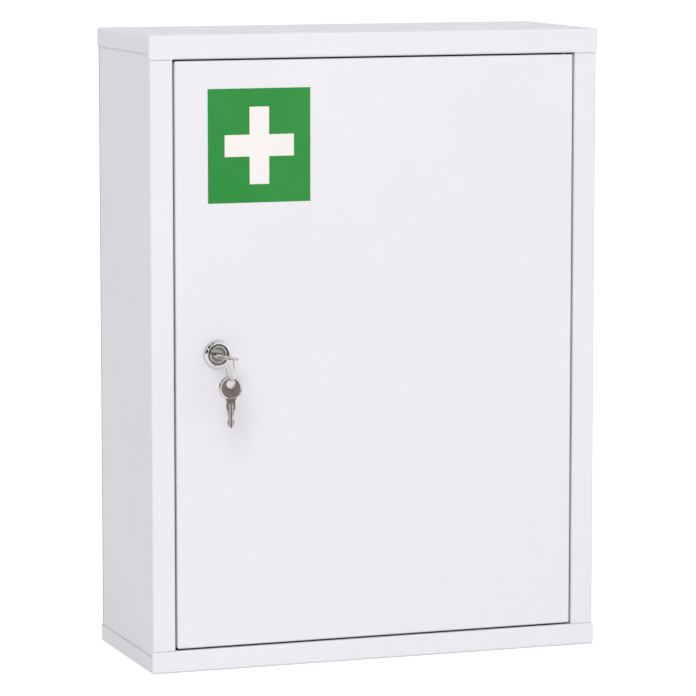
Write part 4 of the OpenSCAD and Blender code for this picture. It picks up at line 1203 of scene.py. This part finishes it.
shape = bmesh.new()
shape.from_mesh(key.data)
bmesh.ops.remove_doubles(shape, verts=shape.verts, dist=CLEAN_WITHIN)
bmesh.ops.dissolve_degenerate(shape, edges=shape.edges, dist=NO_LENGTH)
bmesh.ops.dissolve_limit(shape, angle_limit=NO_ANGLE, verts=shape.verts, edges=shape.edges)
shape.to_mesh(key.data)
shape.clear()
plain(key, KEY_SHARP)
shape.from_mesh(key.data)
for edge in shape.edges:
    if len({abs(face.normal.z) > LEVEL for face in edge.link_faces}) == 2:
        edge.smooth = False
shape.to_mesh(key.data)
shape.free()
print("key cleaned:", len(key.data.polygons), "faces")

# %% [markdown]
# The finish needs to know what gets the bright tone: the raised border and ring of the head, partly
# polish by hands and partly a painted highlight, and the floors of the grooves. It needs to know what is
# milled, because the floors of the grooves are duller. Both are numbers on the mesh's own points.

# %% Key marked
ABOVE_NECK, NEAR = 0.2, 0.02
raised = key.data.attributes.new("raised", "FLOAT", "POINT").data
milled = key.data.attributes.new("milled", "FLOAT", "POINT").data
for vertex in key.data.vertices:
    height, along = abs(vertex.co.z) / MM, vertex.co.y / MM
    # The head's raised parts get the bright tone: polish and a painted highlight.
    if along < NECK_START:
        raised[vertex.index].value = min(1.0, max(0.0, (height - FIELD_HALF) / (KEY_HALF - FIELD_HALF)))
    # The groove floors get the bright tone too, and are marked milled.
    if along > NECK_END - ABOVE_NECK and abs(height - GROOVE_FLOOR) < NEAR:
        raised[vertex.index].value = milled[vertex.index].value = 1.0
print("points marked as milled:", sum(mark.value > 0 for mark in milled))

# %% [markdown]
# One key sits in the plug, turned a little as the lock was left. The other hangs from the ring, flat to
# the door. Their places come from the boxes of their solids.

# %% Keys in place
KEY_TURN = math.radians(8)
head_centre = box_of("working_key")[0].y + HEAD_R * MM - door_face
in_plug = (lock_frame @ Matrix.Rotation(KEY_TURN, 4, "Z") @ Matrix.Translation((0, 0, head_centre))
           @ Matrix.Rotation(math.pi / 2, 4, "X"))
low, high = box_of("spare_key")
hang_from = Matrix.Translation(((low.x + high.x) / 2, (low.y + high.y) / 2, high.z - HEAD_R * MM))
hanging = hang_from @ Matrix.Rotation(-math.pi / 2, 4, "X")
for node, matrix in (("working_key", in_plug), ("spare_key", hanging)):
    piece = base_piece(node + "_cut")
    piece.data = key.data.copy()
    piece.data.transform(matrix)
    stands_for(piece, node)
    print(piece.name, "box in mm:", [round(v / MM, 1) for v in piece.dimensions])
bpy.data.objects.remove(key)

# %% [markdown]
# ## Key ring
# One turn of drawn wire with a small open joint. A curve tree fits a wire best: an arc is the path and
# a circle is the section.

# %% Wire tree
wiring, wire_in, wire_out = new_group(
    "wire loop", "GeometryNodeTree",
    {"Geometry": ("Geometry", None), "Radius": ("Float", 0.01), "Wire Radius": ("Float", 0.0006),
     "Open Angle": ("Float", 0.05), "Start": ("Float", 0.0), "Steps": ("Int", 128),
     "Section Steps": ("Int", 16), "Finish": ("Material", None)},
    {"Geometry": "Geometry"})
sweep = calc(wiring, "SUBTRACT", math.tau, wire_in["Open Angle"])
loop = add(wiring, "GeometryNodeCurveArc",
           {"Resolution": wire_in["Steps"], "Radius": wire_in["Radius"], "Start Angle": wire_in["Start"],
            "Sweep Angle": sweep}).outputs["Curve"]
section = add(wiring, "GeometryNodeCurvePrimitiveCircle",
              {"Resolution": wire_in["Section Steps"], "Radius": wire_in["Wire Radius"]})
swept = add(wiring, "GeometryNodeCurveToMesh", {"Curve": loop, "Profile Curve": section.outputs["Curve"],
                                                "Fill Caps": True}).outputs["Mesh"]
end_tree(wiring, swept, wire_in["Finish"], wire_out["Geometry"])

# %% [markdown]
# The ring stands upright through the holes of both keys, with its open joint to one side of them.

# %% Key ring
JOINT_OPEN, JOINT_AT, WIRE_SHARP = math.radians(3), math.radians(40), 40
low, high = box_of("key_ring")
wire_r = (high.x - low.x) / 2
loop_r = (high.z - low.z) / 2 - wire_r
ring = plain(grow(base_piece("key_ring_wire"), wiring, radius=loop_r, wire_radius=wire_r,
                  open_angle=JOINT_OPEN, start=JOINT_AT, finish=finish_for["key_ring"]), WIRE_SHARP)
ring.data.transform(Matrix.Translation((low + high) / 2) @ Matrix.Rotation(math.pi / 2, 4, "Y"))
stands_for(ring, "key_ring")
print("ring diameter in mm:", round(2 * loop_r / MM, 2), "wire:", round(2 * wire_r / MM, 2))

# %% [markdown]
# ## Spot welds
# Sheet furniture is held together by rows of spot welds, which show through the paint as shallow round
# marks. A bump in the paint could show them, but a shape stays in the mesh when it is exported. The base
# mesh is one edge for each row. The tree spaces points along it and sets one low disc on each, facing
# the side that is looked at.

# %% Weld tree
welding, weld_in, weld_out = new_group(
    "spot welds", "GeometryNodeTree",
    {"Rows": ("Geometry", None), "Spacing": ("Float", 0.05), "Mark Radius": ("Float", 0.0024),
     "Top Share": ("Float", 0.8), "Height": ("Float", 0.00006), "Facing": ("Vector", (0.0, 1.0, 0.0)),
     "Finish": ("Material", None)},
    {"Geometry": "Geometry"})
row = add(welding, "GeometryNodeMeshToCurve", {"Mesh": weld_in["Rows"]}).outputs["Curve"]
spaced = add(welding, "GeometryNodeResampleCurve", {"Curve": row, "Length": weld_in["Spacing"]},
             mode="LENGTH")
top_radius = calc(welding, "MULTIPLY", weld_in["Mark Radius"], weld_in["Top Share"])
mark = add(welding, "GeometryNodeMeshCone",
           {"Vertices": 20, "Radius Bottom": weld_in["Mark Radius"], "Radius Top": top_radius,
            "Depth": weld_in["Height"]})
turn = add(welding, "FunctionNodeAlignRotationToVector", {"Vector": weld_in["Facing"]}, axis="Z")
marks = add(welding, "GeometryNodeInstanceOnPoints",
            {"Points": spaced.outputs["Curve"], "Instance": mark.outputs["Mesh"],
             "Rotation": turn.outputs["Rotation"]}).outputs["Instances"]
end_tree(welding, marks, weld_in["Finish"], weld_out["Geometry"])

# %% [markdown]
# The rows seen on this cabinet: the rear flanges inside it, and the feet of the channel on the door.

# %% Weld marks
WELD_MARGIN, FLANGE_SPACING, CHANNEL_SPACING, WELD_SHARP = 24 * MM, 58 * MM, 70 * MM, 30


def weld_marks(name, body, row_x, row_y, low_z, high_z, spacing, facing):
    """Sets one row of marks on each side of the middle, on painted sheet."""
    ends = (low_z + WELD_MARGIN, high_z - WELD_MARGIN)
    points = [(side * row_x, row_y, z) for side in (-1, 1) for z in ends]
    piece = grow(base_piece(name, points, [(0, 1), (2, 3)]), welding, spacing=spacing, facing=facing,
                 finish=powder)
    plain(piece, WELD_SHARP)
    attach(piece, body)
    print(piece.name, len(piece.data.polygons), "faces")


weld_marks("rear_flange_welds", "cabinet", outer - REAR_FLANGE / 2, right_high.y - SHEET,
           right_low.z, right_high.z, FLANGE_SPACING, (0, -1, 0))
weld_marks("channel_foot_welds", "door", channel_high.x - CHANNEL_FOOT / 2, channel_low.y + SHEET,
           channel_low.z, channel_high.z, CHANNEL_SPACING, (0, 1, 0))
